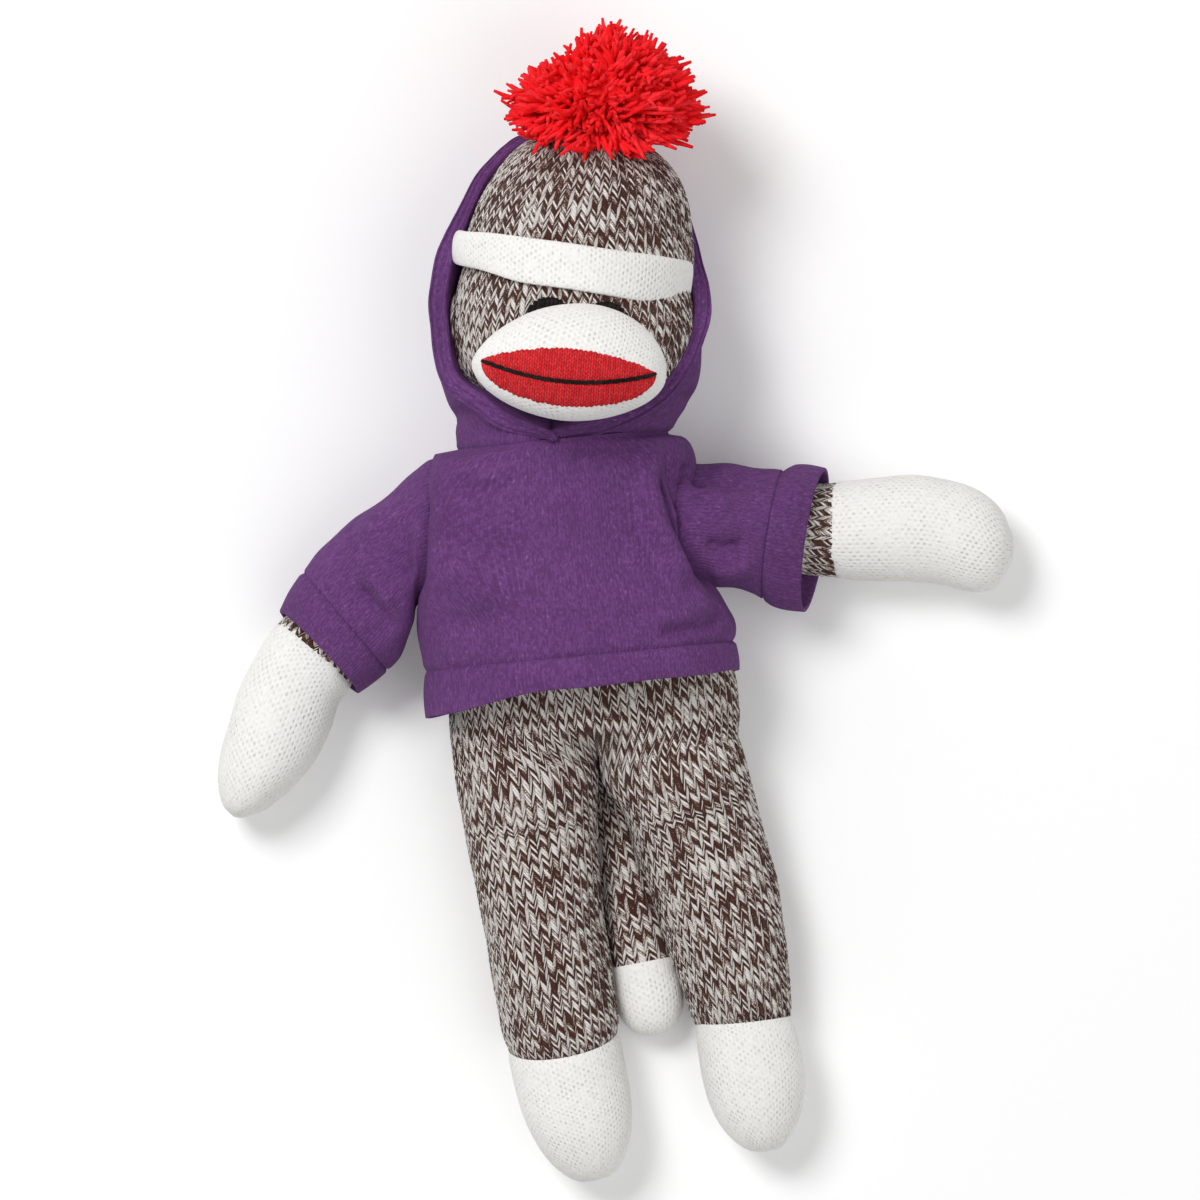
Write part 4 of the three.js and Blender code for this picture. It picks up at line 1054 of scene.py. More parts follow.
def hoodie():
    angle = turns(BODY_COLUMNS)[None]
    y = np.linspace(HEM_TOP - 3, NECK[1], 140)[:, None]
    right, left, half_depth, middle = each_through(HOODIE_ROWS, y)
    x = CHEST_X + np.where(np.cos(angle) > 0, left, right) * np.cos(angle)
    grid = joined(x, y, middle + half_depth * np.sin(angle))
    for side, sign in SIDES.items():
        at = SHOULDERS[side]
        ring = np.hypot(0.88 * (grid[..., 1] - at[1] - 1), grid[..., 2] - at[2])
        out = sign * (grid[..., 0] - CHEST_X)
        wide = np.where(ring < ARMHOLE, 4.0, 11.0)
        pull = bell((ring - ARMHOLE) / wide) * smooth(out, 12, 28)
        grid[..., 0] += sign * np.maximum(armhole_out(side, grid[..., 1]) - out, 0) * pull
    moves = 0.55 * waves(grid, scale=30, seed=71) + 0.25 * waves(grid, scale=12, seed=72)
    moves = moves + creases(grid, BODY_CREASES)
    fade = smooth(y, HEM_TOP, HEM_TOP + 4) * smooth(NECK[1] - y, 0, 3)
    hem_seam = -1.2 * (1 - smooth(y, HEM_TOP - 1.6, HEM_TOP + 1.6))
    neck_seam = -0.9 * bell((NECK[1] - y) / 1.3)
    grid = on_table(moved_out(grid, moves * fade + hem_seam + neck_seam, around=True))

    # The shoulders close in to the neck.
    neck = NECK + joined(NECKLINE * np.cos(angle[0]), 0.5, NECKLINE * np.sin(angle[0]))
    shoulders = [grid[-1] + (neck - grid[-1]) * share for share in (0.35, 0.7, 1)]
    grid = np.concatenate([grid, shoulders])
    y = np.concatenate([y, NECK[1] + np.array([[2], [4], [6]])])
    uv = joined(around_u(BODY_COLUMNS, BODY_WALES), y / JERSEY_WALE)
    piece = surface("hoodie_body", grid, uv, JERSEY, around=True)
    belongs(piece, "torso", "hoodie_body")


def hoodie_hem():
    angle = turns(BODY_COLUMNS)[None]
    along, lift = turned_up(proud=0.3, sunk=1.0, full=0.5, seam=(-0.05, 0.12))
    to_left = np.cos(angle) > 0
    flare = 0.6 * along * to_left + 1.2 * along * smooth(-np.cos(angle), 0.5, 1)
    half_width = np.where(to_left, HEM_HALF["left"], HEM_HALF["right"]) + lift + flare
    x = CHEST_X + half_width * np.cos(angle)
    wave = 0.5 * np.sin(3 * angle + 0.8) + 0.35 * np.sin(7 * angle)
    low = hem_low(x) + wave * 0.5
    y = HEM_TOP - 0.2 + (low - HEM_TOP) * along
    grid = joined(x, y, HEM_MIDDLE + (HEM_DEPTH + lift) * np.sin(angle))
    ripple = 0.6 * waves(grid * [1, 0.3, 1], scale=34, seed=81, count=4) * smooth(along, 0, 0.5)
    grid = on_table(grid + normals_ring(grid) * ripple[..., None] * [1, 0, 1])
    uv = joined(around_u(BODY_COLUMNS, BODY_WALES), -HEM_LENGTH * along / JERSEY_WALE)
    piece = surface("hoodie_hem", grid, uv, JERSEY, around=True)
    belongs(piece, "torso", "hoodie_hem")


# Head, face and cap. Their points are in the head's own frame until from_head turns them.

HEAD_Z = 39.3
NECK_Z = 31.5
# Rows are [up, half width, half depth, middle's height].
SKULL_ROWS = [
    [0.4, 14, 14, 31.5],
    [5, 14.4, 14.4, 31.5],
    [11, 25, 24, 36],
    [18, 32.6, 30.6, 39.3],
    [33, 36.2, 34, 39.3],
    [42, 35.4, 33.6, 39.3],
    [50, 33.8, 32.6, 39.3],
    [58, 33.0, 32.0, 39.3],
    [64, 32.0, 31.2, 39.3],
]
HEAD_WALES = 71


def skull(up, angle):
    half_width, half_depth, middle = each_through(SKULL_ROWS, up)
    return joined(half_width * np.cos(angle), up, middle + half_depth * np.sin(angle))


def face_height(r, up):
    """How far out the face is at a place on it."""
    half_width, half_depth, middle = each_through(SKULL_ROWS, up)
    return middle + half_depth * np.sqrt(np.maximum(1 - (r / half_width) ** 2, 0))


def head():
    up = np.linspace(0.4, 62, round(62 / COURSE) * 3)[:, None]
    grid = skull(up, turns(HEAD_WALES * STITCH_POINTS)[None])
    u = -stitch_u(HEAD_WALES)
    v = up / COURSE
    relief = stitch_relief(u[:, :-1], v) * smooth(up, 4, 12)
    grid = moved_out(grid, relief + 0.4 * waves(grid, scale=30, seed=91), around=True)
    bottom = from_head(np.array([0, 0.3, NECK_Z]))
    top = from_head(np.array([0, 66.0, HEAD_Z]))
    grid = from_head(grid)
    piece = surface("head", grid, joined(u, v), HEAD_MARL, around=True, pole_start=bottom, pole_end=top)
    belongs(piece, "head", "head_skin", "head_fill")


MUZZLE_AT = np.array([0.0, 20.3, 78.7])
MUZZLE_SIZE = np.array([28.9, 20.2, 16.0])
MUZZLE_DROP = 14.9  # how far it reaches below its middle
MUZZLE_SKEW = 3.5  # how far to the monkey's left the top of its outline lies
MUZZLE_POWER = 1.8  # 2 is an ellipse, and less is more pointed at the sides


def muzzle_half_height(upper):
    return np.where(upper, MUZZLE_SIZE[1], MUZZLE_DROP)


def muzzle_height(r, up):
    off = up - MUZZLE_AT[1]
    upright = r - MUZZLE_SKEW * np.maximum(off, 0) / MUZZLE_SIZE[1]
    share = np.abs(upright / MUZZLE_SIZE[0]) ** MUZZLE_POWER
    share = share + np.abs(off / muzzle_half_height(off > 0)) ** MUZZLE_POWER
    reach = share ** (1 / MUZZLE_POWER)
    return MUZZLE_AT[2] + MUZZLE_SIZE[2] * np.sqrt(np.maximum(1 - reach**2, 0))


def muzzle():
    columns = 120
    angle = turns(columns)[None]
    dome = np.radians(np.linspace(4, 90, 44))
    tuck = np.linspace(0, 1, 14)[1:]
    reach = np.concatenate([np.sin(dome), 1 - 0.09 * tuck**1.5])[:, None]
    pointed = lambda t: np.sign(t) * np.abs(t) ** (2 / MUZZLE_POWER)
    r = MUZZLE_SIZE[0] * reach * pointed(np.cos(angle))
    off = muzzle_half_height(np.sin(angle) > 0) * reach * pointed(np.sin(angle))
    up = MUZZLE_AT[1] + off
    r = r + MUZZLE_SKEW * np.maximum(off, 0) / MUZZLE_SIZE[1]
    front = MUZZLE_AT[2] + MUZZLE_SIZE[2] * np.cos(dome)[:, None] + 0 * angle
    edge = len(dome) - 1
    face = face_height(r[edge] * 0.93, MUZZLE_AT[1] + (up[edge] - MUZZLE_AT[1]) * 0.93) - 2
    side = MUZZLE_AT[2] + (face[None] - MUZZLE_AT[2]) * tuck[:, None]
    grid = np.stack([r, up, np.concatenate([front, side])], -1)
    above = grid[: len(dome)]
    grid[: len(dome)] = moved_out(above, 0.25 * waves(above, scale=18, seed=95), around=True)
    steps = np.linalg.norm(np.diff(grid, axis=0), axis=-1)
    run = 1.5 + np.concatenate([0 * steps[:1], np.cumsum(steps, 0)])
    run = np.concatenate([run, run[:, :1]], 1)
    round_it = np.append(angle, 2 * math.pi)[None]
    flat = joined(run * np.cos(round_it) / DOT, run * np.sin(round_it) / DOT_ROW)
    tip = np.array([0, MUZZLE_AT[1], MUZZLE_AT[2] + MUZZLE_SIZE[2]])
    piece = surface("muzzle", from_head(grid), flat, WHITE, around=True, pole_start=from_head(tip))
    belongs(piece, "head", "muzzle_skin", "muzzle_fill")


LIPS_HALF = 26.0
LIPS_CORNER = 21.2
LIPS_TOP = 26.2
LIPS_BOTTOM = 9.8
MOUTH_SAG = 4.5


def lips():
    columns = 241
    rows = 41
    r = np.linspace(-LIPS_HALF, LIPS_HALF, columns)[None]
    share = np.linspace(0, 1, rows)[:, None]
    arch = 1 - (r / LIPS_HALF) ** 2
    uneven = np.stack([r, 0 * r, 0 * r], -1)
    steps = 0.16 * np.sin(r * 2 * math.pi / RED_WALE) + 0.2 * waves(uneven, scale=3.1, seed=97)
    steps = steps * np.minimum(arch * 4, 1)
    low = LIPS_CORNER - (LIPS_CORNER - LIPS_BOTTOM) * arch**0.5 - 0.3 - steps
    high = LIPS_CORNER + (LIPS_TOP - LIPS_CORNER) * arch**0.95 + 0.3 + steps
    up = low + (high - low) * share
    rim = np.minimum(np.minimum(share, 1 - share) * (high - low), 1.2) / 1.2
    lift = 0.15 + 0.75 * np.sqrt(np.clip(rim, 0, 1))
    groove = -0.45 * bell((up - mouth_line(r)) / 0.9)
    z = muzzle_height(r, up) + lift + groove
    grid = joined(r, up, z)
    piece = surface("lips", from_head(grid), grid[..., :2] / [RED_WALE, RED_COURSE], RED)
    face_out(piece)
    belongs(piece, "head", "lips")


def face_out(piece):
    """Turns an open patch's faces to the front."""
    if sum(p.normal.z for p in piece.data.polygons) < 0:
        piece.data.flip_normals()


def mouth_line(r):
    return LIPS_CORNER - MOUTH_SAG * (1 - (r / LIPS_HALF) ** 2)


def mouth():
    count = 17
    ends = np.linspace(-LIPS_HALF + 0.6, LIPS_HALF - 0.6, count + 1)
    share = np.linspace(-0.12, 1.12, 9)
    r = ends[:-1, None] + (ends[1:] - ends[:-1])[:, None] * share
    up = mouth_line(r) + 0.3 * (share - 0.5)[None]
    hump = np.sin(np.clip(share, 0, 1) * math.pi)[None]
    z = muzzle_height(r, up) + 0.6 + 0.35 * hump
    radii = 0.5 + 0.1 * hump + 0 * r
    piece = tubes("mouth_stitch", from_head(joined(r, up, z)), radii, BLACK_YARN)
    belongs(piece, "head", "mouth_stitch")


EYE_AT = {"left": 10.4, "right": -8.0}
EYE_UP = 37.3
EYE_HALF_WIDTH = 4.9
EYE_HALF_HEIGHT = 4.2
EAR_UP = 33.0
EAR_HALF_HEIGHT = 8.4
EAR_HALF_WIDTH = 7.8


def eye(side):
    sign = SIDES[side]
    count = 9
    across = np.linspace(-EYE_HALF_WIDTH, EYE_HALF_WIDTH, count)[:, None]
    half = EYE_HALF_HEIGHT * np.sqrt(np.maximum(1 - (across / 5.5) ** 2, 0.1))
    share = np.linspace(-1, 1, 9)[None]
    r = EYE_AT[side] + across + 0.25 * share
    up = EYE_UP + half * share - 0.12 * sign * across
    z = face_height(r, up) + 0.7 + 0.9 * np.sqrt(1 - 0.96 * share**2)
    radii = 0.72 + 0 * r
    piece = tubes(f"eye_{side}", from_head(joined(r, up, z)), radii, BLACK_YARN)
    belongs(piece, "head", f"eye_{side}")


def ear(side):
    """It lies flat against the head, under the hood."""
    sign = SIDES[side]
    angle = turns(48)[None]
    reach = np.linspace(0.08, 1, 16)[:, None]
    up = EAR_UP + EAR_HALF_HEIGHT * reach * np.sin(angle)
    z = HEAD_Z + EAR_HALF_WIDTH * reach * np.cos(angle)
    half_width, half_depth, middle = each_through(SKULL_ROWS, up)
    base = half_width * np.sqrt(1 - ((z - middle) / half_depth) ** 2)
    thick = 0.3 + 0.7 * np.sqrt(np.maximum(1 - reach**2, 0)) + 0.3 * bell((reach - 0.8) / 0.15)
    grid = joined(sign * (base + thick), up, z)
    uv = joined(z / WALE, up / COURSE)
    uv = np.concatenate([uv, uv[:, :1]], 1)
    middle = np.array([sign * (through(SKULL_ROWS, EAR_UP)[0] + 1.0), EAR_UP, HEAD_Z])
    piece = surface(f"ear_{side}", from_head(grid), uv, HEAD_MARL, around=True, pole_start=from_head(middle))
    belongs(piece, "head", f"ear_{side}")


# Rows are [up, half width, half depth].
CAP_ROWS = [
    [48, 34.0, 33.0],
    [58, 34.2, 33.0],
    [66, 32.6, 32.0],
    [72, 30.9, 30.8],
    [78, 28.4, 28.6],
    [83, 25.4, 25.6],
    [87, 21.6, 21.8],
    [90, 16.0, 16.0],
    [92, 9.0, 9.0],
    [92.8, 4.0, 4.0],
]
CAP_LEAN = 1.3
BRIM_RADIUS = 36
BRIM_GIRTH = 228
BRIM_SHIFT = -1.7  # to the monkey's left
BRIM_RISE = 52.6
BRIM_SAG = 1.4  # how much lower it lies at the forehead
BRIM_LENGTH = 13.8
BRIM_TILT = 4


def cap_shift(up):
    """How far the cap leans to the monkey's left."""
    return CAP_LEAN * smooth(up, 58, 82)


def cap():
    wales = 67
    share = np.linspace(0, 1, 62)[:, None]
    up = 50 + 42.8 * (1 - (1 - share) ** 1.5)
    angle = turns(wales * STITCH_POINTS)[None]
    half_width, half_depth = each_through(CAP_ROWS, up)
    r = cap_shift(up) + half_width * np.cos(angle)
    z = HEAD_Z + half_depth * np.sin(angle)
    grid = joined(r, up, z)
    u = -stitch_u(wales)
    v = run_along(grid[:, 0])[:, None] / COURSE
    gather = smooth(up, 84, 92) * 0.8 * np.sin(angle * 11)
    relief = stitch_relief(u[:, :-1], v) * (1 - smooth(up, 84, 91))
    grid = moved_out(grid, relief + gather + 0.5 * waves(grid, scale=28, seed=101), around=True)
    top = from_head(np.array([CAP_LEAN, 93.0, HEAD_Z]))
    piece = surface("cap_crown", from_head(grid), joined(u, v), HEAD_MARL, around=True, pole_end=top)
    belongs(piece, "head", "cap_crown")


def brim():
    columns = 220
    angle = turns(columns)[None]
    loop = turns(72)[:, None]
    corner = lambda t: np.sign(t) * np.abs(t) ** 0.55
    across = corner(np.cos(loop))
    lift = corner(np.sin(loop))
    front = np.maximum(np.sin(angle), 0)
    narrow = smooth(-np.cos(angle), 0.4, 1)
    length = BRIM_LENGTH - 0.6 * (1 - front) - 3.0 * narrow
    tilt = math.tan(math.radians(BRIM_TILT))
    slope = -tilt * BRIM_RADIUS * np.cos(angle)
    up = BRIM_RISE + slope - BRIM_SAG * front + 0.5 * narrow + length / 2 * across
    half_width, half_depth = each_through(CAP_ROWS, up)
    proud = 1.75 + 1.55 * lift + 0.35 * np.cos(math.pi / 2 * across)
    r = BRIM_SHIFT + (half_width - 1.4 + proud) * np.cos(angle)
    z = HEAD_Z + (half_depth + proud) * np.sin(angle)
    grid = joined(r, up, z)
    grid = grid + 0.35 * waves(grid, scale=30, seed=111)[..., None] * Y
    grid = np.concatenate([grid, grid[:1]])
    u = around_u(columns, dot_columns(BRIM_GIRTH))
    v = run_along(grid[:, columns // 4])[:, None] / DOT_ROW
    piece = surface("cap_brim", from_head(grid), joined(u, v), WHITE, around=True)
    belongs(piece, "head", "cap_brim")


POM_AT = np.array([5.0, 103.0, 48.0])
POM_ROOT = np.array([1.5, 99.0, 43.0])  # where its yarns spring from
POM_SIZE = np.array([28.6, 22.2, 23.6])
POM_DROP = 16.0  # how far it hangs below its middle
POM_CORE = 0.73  # size of its dense middle, as a share of the whole
POM_TIP = 18  # degrees that it tips to either side
CAP_CLEAR = 96.6  # just above the cap's top
YARN_CLEAR = 1.6  # between the cap and the middle of a yarn
KNOT_RADIUS = 2.0
THREAD_RING = 15.8  # radius of the ring that the neck's thread makes
THREAD_RADIUS = 1.05
THREAD_UP = 1.7


def cap_front(r, up, proud):
    """How far out the cap's front is, or a surface that stands a little proud of it."""
    half_width, half_depth = each_through(CAP_ROWS, up) + proud
    share = (r - cap_shift(up)) / half_width
    return HEAD_Z + half_depth * np.sqrt(np.maximum(1 - share**2, 0))


def pom_pom():
    """Cut ends of thick yarn, in small tufts that spring from the knot, round a lumpy middle of the same."""
    tufts = 470
    each = 4
    steps = 8
    golden = math.pi * (3 - math.sqrt(5))
    k = np.arange(tufts) + 0.5
    level = 1 - 2 * k / tufts
    ring = np.sqrt(1 - level**2)
    way = joined(ring * np.cos(golden * k), level, ring * np.sin(golden * k))
    way = way + chance.normal(scale=0.06, size=way.shape)
    way /= np.linalg.norm(way, axis=1, keepdims=True)
    length = chance.uniform(0.86, 1.04, tufts)[:, None]
    tuft = POM_AT + pom_reach(way) * length
    count = tufts * each
    front = np.repeat(way[:, 2] > -0.1, each)
    tip = np.repeat(tuft, each, 0) + chance.normal(scale=1.5, size=(count, 3))
    tip = clear_of_cap(tip, front, chance.uniform(0, 6, count))
    root = POM_ROOT + chance.normal(scale=1.6, size=(count, 3))
    bend = np.repeat(chance.normal(scale=1.8, size=(tufts, 3)), each, 0)
    bend = bend + chance.normal(scale=0.8, size=(count, 3))
    share = np.linspace(0.3, 1, steps)[None, :, None]
    paths = root[:, None] + (tip - root)[:, None] * share + bend[:, None] * np.sin(share * math.pi)
    wiggle = chance.normal(scale=0.45, size=(count, 1, 3))
    paths = paths + wiggle * np.sin(share * 11 + chance.uniform(0, 6, (count, 1, 1)))
    paths = off_cap(paths, front[:, None], YARN_CLEAR)
    thick = chance.uniform(0.5, 0.74, count)[:, None]
    taper = np.interp(np.linspace(0, 1, steps), [0, 0.6, 0.9, 1], [0.8, 1.0, 1.1, 0.7])[None]
    points, faces, maps = tube_faces(paths, thick * taper)

    core, core_faces, core_maps = pom_core()
    faces += (core_faces + len(points)).tolist()
    points = np.concatenate([points, core])
    piece = mesh_object("pom_pom", from_head(points), faces, np.concatenate([maps, core_maps]), RED_YARN)
    belongs(piece, "pom_pom", "pom_pom")


def ball(fall, turn):
    """Directions by their angle from the top and their turn round the upright."""
    return joined(np.sin(fall) * np.cos(turn), np.cos(fall), np.sin(fall) * np.sin(turn))


def pom_core():
    """Points, faces and map of the pom-pom's middle. It is smaller below, to stay off the cap."""
    turn = turns(64)[None]
    fall = np.linspace(0.04, math.pi - 0.04, 40)[:, None]
    lump = ball(fall, turn)
    share = POM_CORE * (1 - 0.4 * smooth(-lump[..., 1], 0, 0.5)) + 0.05 * waves(lump * 20, scale=9, seed=141)
    core = POM_AT + pom_reach(lump) * share[..., None]
    core[..., 1] = np.maximum(core[..., 1], CAP_CLEAR)
    index = np.arange(share.size).reshape(share.shape)
    after = np.roll(index, -1, 1)
    faces = np.stack([index[:-1], index[1:], after[1:], after[:-1]], -1).reshape(-1, 4)
    spot = joined(turn / 7, fall / 3).reshape(-1, 2)
    return core.reshape(-1, 3), faces, spot[faces.ravel()]


def pom_reach(way):
    """How far the pom-pom reaches each way from its middle: less at its upper corners, more at its lower."""
    out, up = np.abs(way[..., 0]), way[..., 1]
    to_right = way[..., 0] < 0
    upper = out * np.maximum(up, 0) * np.where(to_right, 0.56, 0.24)
    lower = out * np.maximum(-up, 0) * np.where(to_right, 0.35, 0.1)
    reach = way * POM_SIZE * (1 - upper + lower)[..., None]
    reach[..., 1] *= np.where(up < 0, POM_DROP / POM_SIZE[1], 1)
    return reach


def tipped(points, degrees):
    """Points of the head's frame, turned to one side round the pom-pom's knot."""
    tilt = math.radians(HEAD_TILT)
    x, y = KNOT[:2] - NECK[:2]
    knot_r = x * math.cos(tilt) - y * math.sin(tilt)
    knot_up = x * math.sin(tilt) + y * math.cos(tilt)
    turn = math.radians(degrees)
    r = points[..., 0] - knot_r
    up = points[..., 1] - knot_up
    turned_r = knot_r + r * math.cos(turn) - up * math.sin(turn)
    turned_up = knot_up + r * math.sin(turn) + up * math.cos(turn)
    return np.stack([turned_r, turned_up, points[..., 2]], -1)


def clear_of_cap(points, front, spare):
    """Keeps ends of yarn off the cap, upright and tipped to either side, each with its own room to spare."""
    for degrees in (POM_TIP, -POM_TIP, 0):
        points = tipped(off_cap(tipped(points, degrees), front, YARN_CLEAR + spare), -degrees)
    return points


def off_cap(points, front, proud):
    """Lays what hangs below the cap's top over the cap's front, and keeps the rest above it."""
    r, up, z = np.moveaxis(points, -1, 0)
    z = np.where((up < CAP_CLEAR) & front, np.maximum(z, cap_front(r, up, proud)), z)
    floor = CAP_CLEAR - 2 + proud
    up = np.where((up < floor) & ~front, floor + 0.08 * (up - floor), up)
    return joined(r, up, z)


def knot():
    columns = 40
    angle = turns(columns)[None]
    fall = np.linspace(0.12, math.pi - 0.12, 24)[:, None]
    wound = KNOT_RADIUS + 0.18 * np.sin(6 * fall + 3 * angle)
    grid = KNOT + ball(fall, angle) * wound[..., None]
    uv = joined(np.arange(columns + 1)[None] / (columns + 1) * 0.96, fall / 3)
    pole = 1.99 * Y
    poles = {"pole_start": KNOT + pole, "pole_end": KNOT - pole}
    piece = surface("pom_pom_knot", grid, uv, RED_YARN, around=True, **poles)
    belongs(piece, "head", "pom_pom_knot")


def neck_thread():
    angle = turns(96)[None]
    loop = turns(13)[:, None]
    thick = THREAD_RADIUS + 0.12 * np.cos(2 * loop + 24 * angle)
    radius = THREAD_RING + thick * np.cos(loop)
    up = THREAD_UP + thick * np.sin(loop)
    grid = joined(radius * np.cos(angle), up, NECK_Z + radius * np.sin(angle))
    grid = np.concatenate([grid, grid[:1]])
    uv = joined(np.linspace(0, 0.96, 97)[None], np.linspace(0, 1, 14)[:, None])
    piece = surface("neck_thread", from_head(grid), uv, WHITE_YARN, around=True)
    belongs(piece, "head", "neck_thread")


# Hood: its rim, seen from the front, runs from under the chin round each cheek and behind the cap.
# Rows are [up, half width of the hood's outside, rim's distance from the middle, rim's height].

HOOD_TOP = 92.6
HOOD_ROWS = {
    "left": [
        [-6, 32.0, 0.4, 62.6],
        [1, 32.0, 0.6, 62.6],
        [3.2, 32.0, 2.0, 62.6],
        [8.5, 33.2, 12.2, 61.5],
        [14.7, 36.6, 22.1, 58.0],
        [21.6, 38.4, 28.5, 53.5],
        [30, 38.8, 32.8, 49.0],
        [38, 38.6, 35.1, 45.5],
        [45, 37.3, 35.5, 41.5],
        [52, 35.2, 34.0, 36.0],
        [60, 32.6, 31.6, 29.0],
        [67, 30.6, 29.6, 24.0],
        [76, 27.0, 25.8, 20.5],
        [84, 22.0, 20.0, 20.0],
        [89.5, 13.0, 11.4, 21.0],
        [92.6, 0.6, 0.3, 23.0],
    ],
    "right": [
        [-6, 32.0, 0.4, 62.6],
        [1, 32.0, 0.6, 62.6],
        [3.0, 32.4, 3.6, 62.6],
        [7.5, 34.2, 17.4, 60.5],
        [12.3, 36.6, 26.1, 57.0],
        [16.7, 38.8, 32.7, 53.5],
        [24.6, 42.2, 35.7, 50.0],
        [31.4, 43.6, 37.3, 47.5],
        [39.6, 43.6, 38.2, 46.0],
        [52, 41.8, 37.0, 43.5],
        [58, 41.0, 35.5, 42.2],
        [64, 38.6, 33.3, 41.0],
        [73, 32.6, 30.1, 38.5],
        [80, 27.4, 26.2, 35.5],
        [85.5, 23.0, 21.6, 32.0],
        [89.5, 18.0, 14.5, 28.5],
        [92.6, 0.6, 0.3, 23.0],
    ],
}
# Rows are [up, middle's height, depth behind it].
HOOD_BACK_ROWS = [
    [-6, 31.5, 32],
    [3, 31.5, 32],
    [11, 35.6, 36.1],
    [30, 39.7, 40.2],
    [55, 39.7, 40.2],
    [66, 39.7, 38.8],
    [76, 39.7, 34.6],
    [84, 38.0, 28.0],
    [89, 34.0, 19.5],
    [92.6, 23.0, 0.6],
]
HOOD_SPLIT = 0.6  # the share of each half of the hood that lies behind its widest line
LINING = 0.1  # how far its lining runs on from the rim, as such a share
HOOD_NECK = 32  # radius of its neckline
HOOD_HALF_GIRTH = 110
RIM_HALF_WIDTH = 2.8
RIM_HALF_THICKNESS = 1.35
RIM_GIRTH = 13
CHIN_SHIFT = -3.6  # how far to the monkey's left of its chin's middle the ends of the rim meet


def hood_point(side, up, part):
    """A point of the hood's outside, from the middle of its back, where part is 0, to its rim, where it is 1.

    Beyond the rim, the hood is lined a little way back.
    """
    wide, rim_r, rim_z = each_through(HOOD_ROWS[side], up)
    middle, deep = each_through(HOOD_BACK_ROWS, up)
    low = middle - deep
    level = np.minimum(middle, rim_z - 3)
    back = np.clip(part / HOOD_SPLIT, 0, 1) * math.pi / 2
    fore = np.clip((part - HOOD_SPLIT) / (1 - HOOD_SPLIT), 0, 1) * math.pi / 2
    behind = part <= HOOD_SPLIT
    r = np.where(behind, wide * np.sin(back), rim_r + (wide - rim_r) * np.cos(fore))
    z = np.where(behind, level - (level - low) * np.cos(back), level + (rim_z - level) * np.sin(fore))
    lining = np.maximum(part - 1, 0) / LINING
    inside = np.where(up < 50, through(SKULL_ROWS, up)[..., 0], through(CAP_ROWS, up)[..., 0]) + 0.2
    inside = np.minimum(rim_r - 2.4, np.maximum(rim_r - 6, inside))
    r = np.maximum(r + (inside - rim_r) * lining, 0.2 - 1.6 * lining * (1 - smooth(up, 3, 9)))
    z = z - np.minimum(10, 0.5 * (rim_z - low)) * lining
    shift = CHIN_SHIFT * (1 - smooth(up, 2, 13)) * smooth(part, 0.72, 1)
    up = up + 5 * lining * (1 - smooth(up, 4, 16))
    return joined(SIDES[side] * r + shift, up, z)


def hood_climb(rows):
    """Shares of the way up the hood, closer together near its top."""
    return 1 - (1 - np.linspace(0, 1, rows)) ** 1.6


def hood():
    columns = 181
    across = np.linspace(-1 - LINING, 1 + LINING, columns)[None]
    part = np.abs(across)
    behind = np.sin(part / HOOD_SPLIT * math.pi / 2)
    before = np.cos(np.clip((part - HOOD_SPLIT) / (1 - HOOD_SPLIT), 0, 1) * math.pi / 2)
    neckline = HOOD_NECK * np.where(across > 0, 1, -1) * np.where(part < HOOD_SPLIT, behind, before)
    base = neckline * math.tan(math.radians(HEAD_TILT))
    up = base + (HOOD_TOP - base) * hood_climb(110)[:, None]
    left = hood_point("left", up, across)
    right = hood_point("right", up, -across)
    grid = np.where((across >= 0)[..., None], left, right)
    fade = smooth(up - base, 1, 8) * np.maximum(1 - part**8, 0)
    folds = 0.8 * waves(grid, scale=34, seed=121)
    crease = up - base - 8 - 3 * part
    folds = folds - 1.6 * bell(crease / 2.5) * smooth(part, 0.45, 0.7)
    seam = -0.8 * bell((up - base) / 0.9)
    grid = moved_out(grid, folds * fade + seam, around=False)
    axis = np.array([0, 0, NECK[2]])
    tucked = []
    for scale, drop in ((0.94, 5), (0.95, 1.2)):
        tucked.append(axis + (grid[0] - axis) * [scale, 1, scale] - drop * Y)
    grid = np.concatenate([tucked, grid])
    up = np.concatenate([base - 5, base - 1.2, up])
    grid = from_head(grid)
    on_table(grid, 0.8)
    uv = joined(across * HOOD_HALF_GIRTH / JERSEY_WALE, up / JERSEY_WALE)
    piece = surface("hood", grid, uv, JERSEY)
    belongs(piece, "head", "hood")


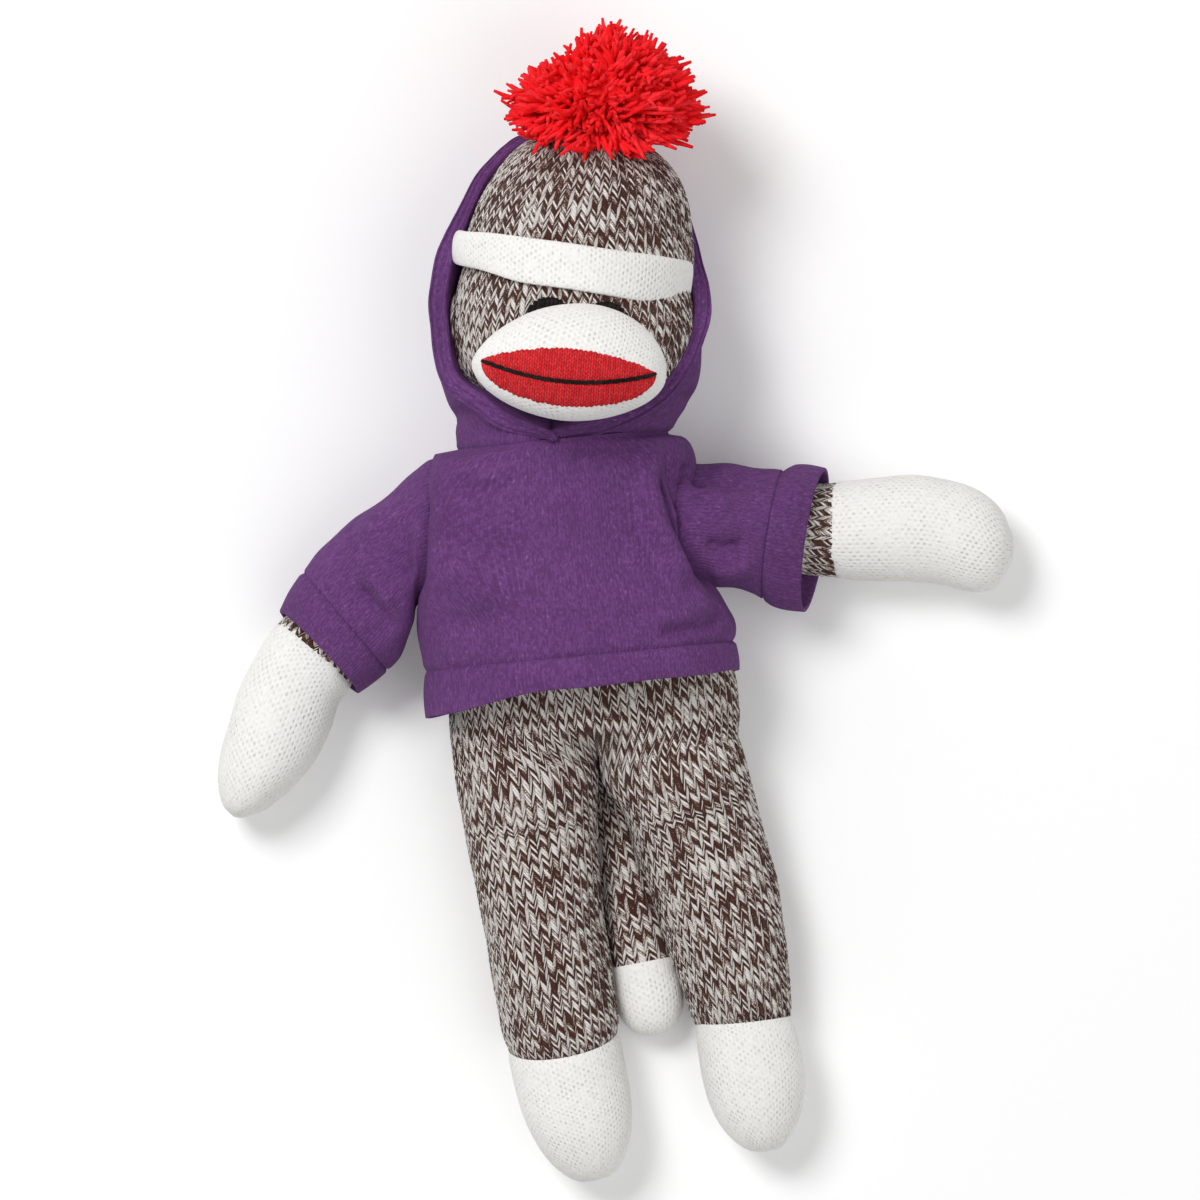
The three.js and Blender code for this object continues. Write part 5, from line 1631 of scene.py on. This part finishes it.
def hood_hem():
    """The rim is turned over and sewn. At the chin the hem's right end lies over its left end."""
    half = 120
    up = HOOD_TOP * hood_climb(half)
    path = []
    inward = []
    for side in SIDES:
        rim = hood_point(side, up, np.ones(half))
        beside = hood_point(side, up, np.full(half, 0.91))
        order = 1 if side == "left" else -1
        path.append(rim[::order])
        inward.append((beside - rim)[::order])
    path = np.concatenate([path[0][:-1], path[1]])
    out = np.concatenate([inward[0][:-1], inward[1]])
    along = run_along(path)
    for ends, sign, rise in ((along, -1, -0.7), (along[-1] - along, 1, 1.2)):
        near = bell(ends / 6)
        path[:, 0] += sign * 2.5 * near
        path[:, 2] += rise * near
    forward = np.gradient(path, axis=0)
    forward /= np.linalg.norm(forward, axis=1, keepdims=True)
    out -= forward * (out * forward).sum(1, keepdims=True)
    out /= np.maximum(np.linalg.norm(out, axis=1, keepdims=True), 1e-6)
    front = np.cross(forward, out)
    front *= np.sign(front[:, 2].mean())
    narrow = 0.5 + 0.5 * smooth(np.minimum(along, along[-1] - along), 1, 16)
    narrow *= 1 - 0.22 * smooth(path[:, 1], 50, 70) - 0.6 * smooth(path[:, 1], 88.5, 92.4)
    sides = 60
    loop = turns(sides)[:, None]
    wide = RIM_HALF_WIDTH * np.cos(loop)
    tall = RIM_HALF_THICKNESS * np.sign(np.sin(loop)) * np.abs(np.sin(loop)) ** 0.7
    seams = bell((wide - 1.7) / 0.4) + 0.8 * bell((wide + 0.2) / 0.4)
    dent = -0.8 * seams * (tall > 0)
    ripple = 0.3 * waves(path, scale=16, seed=131, count=4)
    reach = (wide + RIM_HALF_WIDTH) * narrow + ripple
    grid = path + out * reach[..., None] + front * (tall + dent)[..., None]
    grid = np.concatenate([grid, grid[:1]])
    u = np.arange(sides + 1)[:, None] * RIM_GIRTH / sides / JERSEY_WALE
    piece = surface("hood_hem", from_head(grid), joined(u, along[None] / JERSEY_WALE), JERSEY)
    belongs(piece, "head", "hood_hem")


# Table, light and camera


def stage():
    mesh = bpy.data.meshes.new("table")
    wide = 6.0
    corners = [(-wide, -wide, 0), (wide, -wide, 0), (wide, wide, 0), (-wide, wide, 0)]
    mesh.from_pydata(corners, [], [(0, 1, 2, 3)])
    table = bpy.data.objects.new("table", mesh)
    bpy.context.scene.collection.objects.link(table)
    shade = Shade("table_top", roughness=0.9)
    direct = shade.nodes.new("ShaderNodeLightPath").outputs["Is Camera Ray"]
    shade.shader.inputs["Emission Color"].default_value = (1, 1, 1, 1)
    away = shade.nodes.new("ShaderNodeVectorMath")
    away.operation = "LENGTH"
    shade.set(away.inputs[0], shade.place())
    glow = shade.nodes.new("ShaderNodeMapRange")
    shade.set(glow.inputs["Value"], away.outputs["Value"])
    for socket, value in (("From Min", 0.4), ("From Max", 2.0), ("To Min", 0.1), ("To Max", 0.8)):
        glow.inputs[socket].default_value = value
    shade.set(shade.shader.inputs["Emission Strength"], shade.times(direct, glow.outputs[0]))
    mesh.materials.append(shade.finish(colour("#fafafa")))
    table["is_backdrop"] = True

    world = bpy.data.worlds.new("studio")
    bpy.context.scene.world = world
    world.use_nodes = True
    nodes, links = world.node_tree.nodes, world.node_tree.links
    seen = nodes.new("ShaderNodeLightPath").outputs["Is Camera Ray"]
    strength = nodes.new("ShaderNodeMapRange")
    strength.inputs["To Min"].default_value = 0.38
    strength.inputs["To Max"].default_value = 1.0
    links.new(seen, strength.inputs["Value"])
    background = nodes["Background"]
    background.inputs["Color"].default_value = (1, 1, 1, 1)
    links.new(strength.outputs[0], background.inputs["Strength"])


def lamp(name, place, power, size):
    """A soft lamp that faces the middle of the table."""
    light = bpy.data.lights.new(name, "AREA")
    light.energy = power
    light.size = size
    holder = bpy.data.objects.new(name, light)
    holder.location = place
    holder.rotation_euler = (-Vector(place)).to_track_quat("-Z", "Y").to_euler()
    bpy.context.scene.collection.objects.link(holder)


CAMERA_AT = (0.00485, -0.0125, 3.435)
CAMERA_TURN = 5.4  # degrees, clockwise
FOCAL_LENGTH = 340  # millimetres


def camera():
    lens = bpy.data.cameras.new("camera")
    holder = bpy.data.objects.new("camera", lens)
    holder.location = CAMERA_AT
    holder.rotation_euler = (0, 0, -math.radians(CAMERA_TURN))
    lens.sensor_width = 36
    lens.lens = FOCAL_LENGTH
    bpy.context.scene.collection.objects.link(holder)
    bpy.context.scene.camera = holder


camera()
stage()
lamp("key", (-0.95, 1.15, 2.2), power=40, size=1.0)
lamp("fill", (1.1, -0.8, 2.3), power=13, size=1.8)
bpy.context.scene.view_settings.view_transform = "Standard"

for side in SIDES:
    for build in (hip_and_leg, foot, arm, paw, sleeve, cuff, eye, ear):
        build(side)
for build in (tail, hoodie, hoodie_hem, head, muzzle, lips, mouth, cap, brim):
    build()
for build in (knot, pom_pom, neck_thread, hood, hood_hem):
    build()

{"cad": cad_box, "visual": [list(corner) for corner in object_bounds()]}
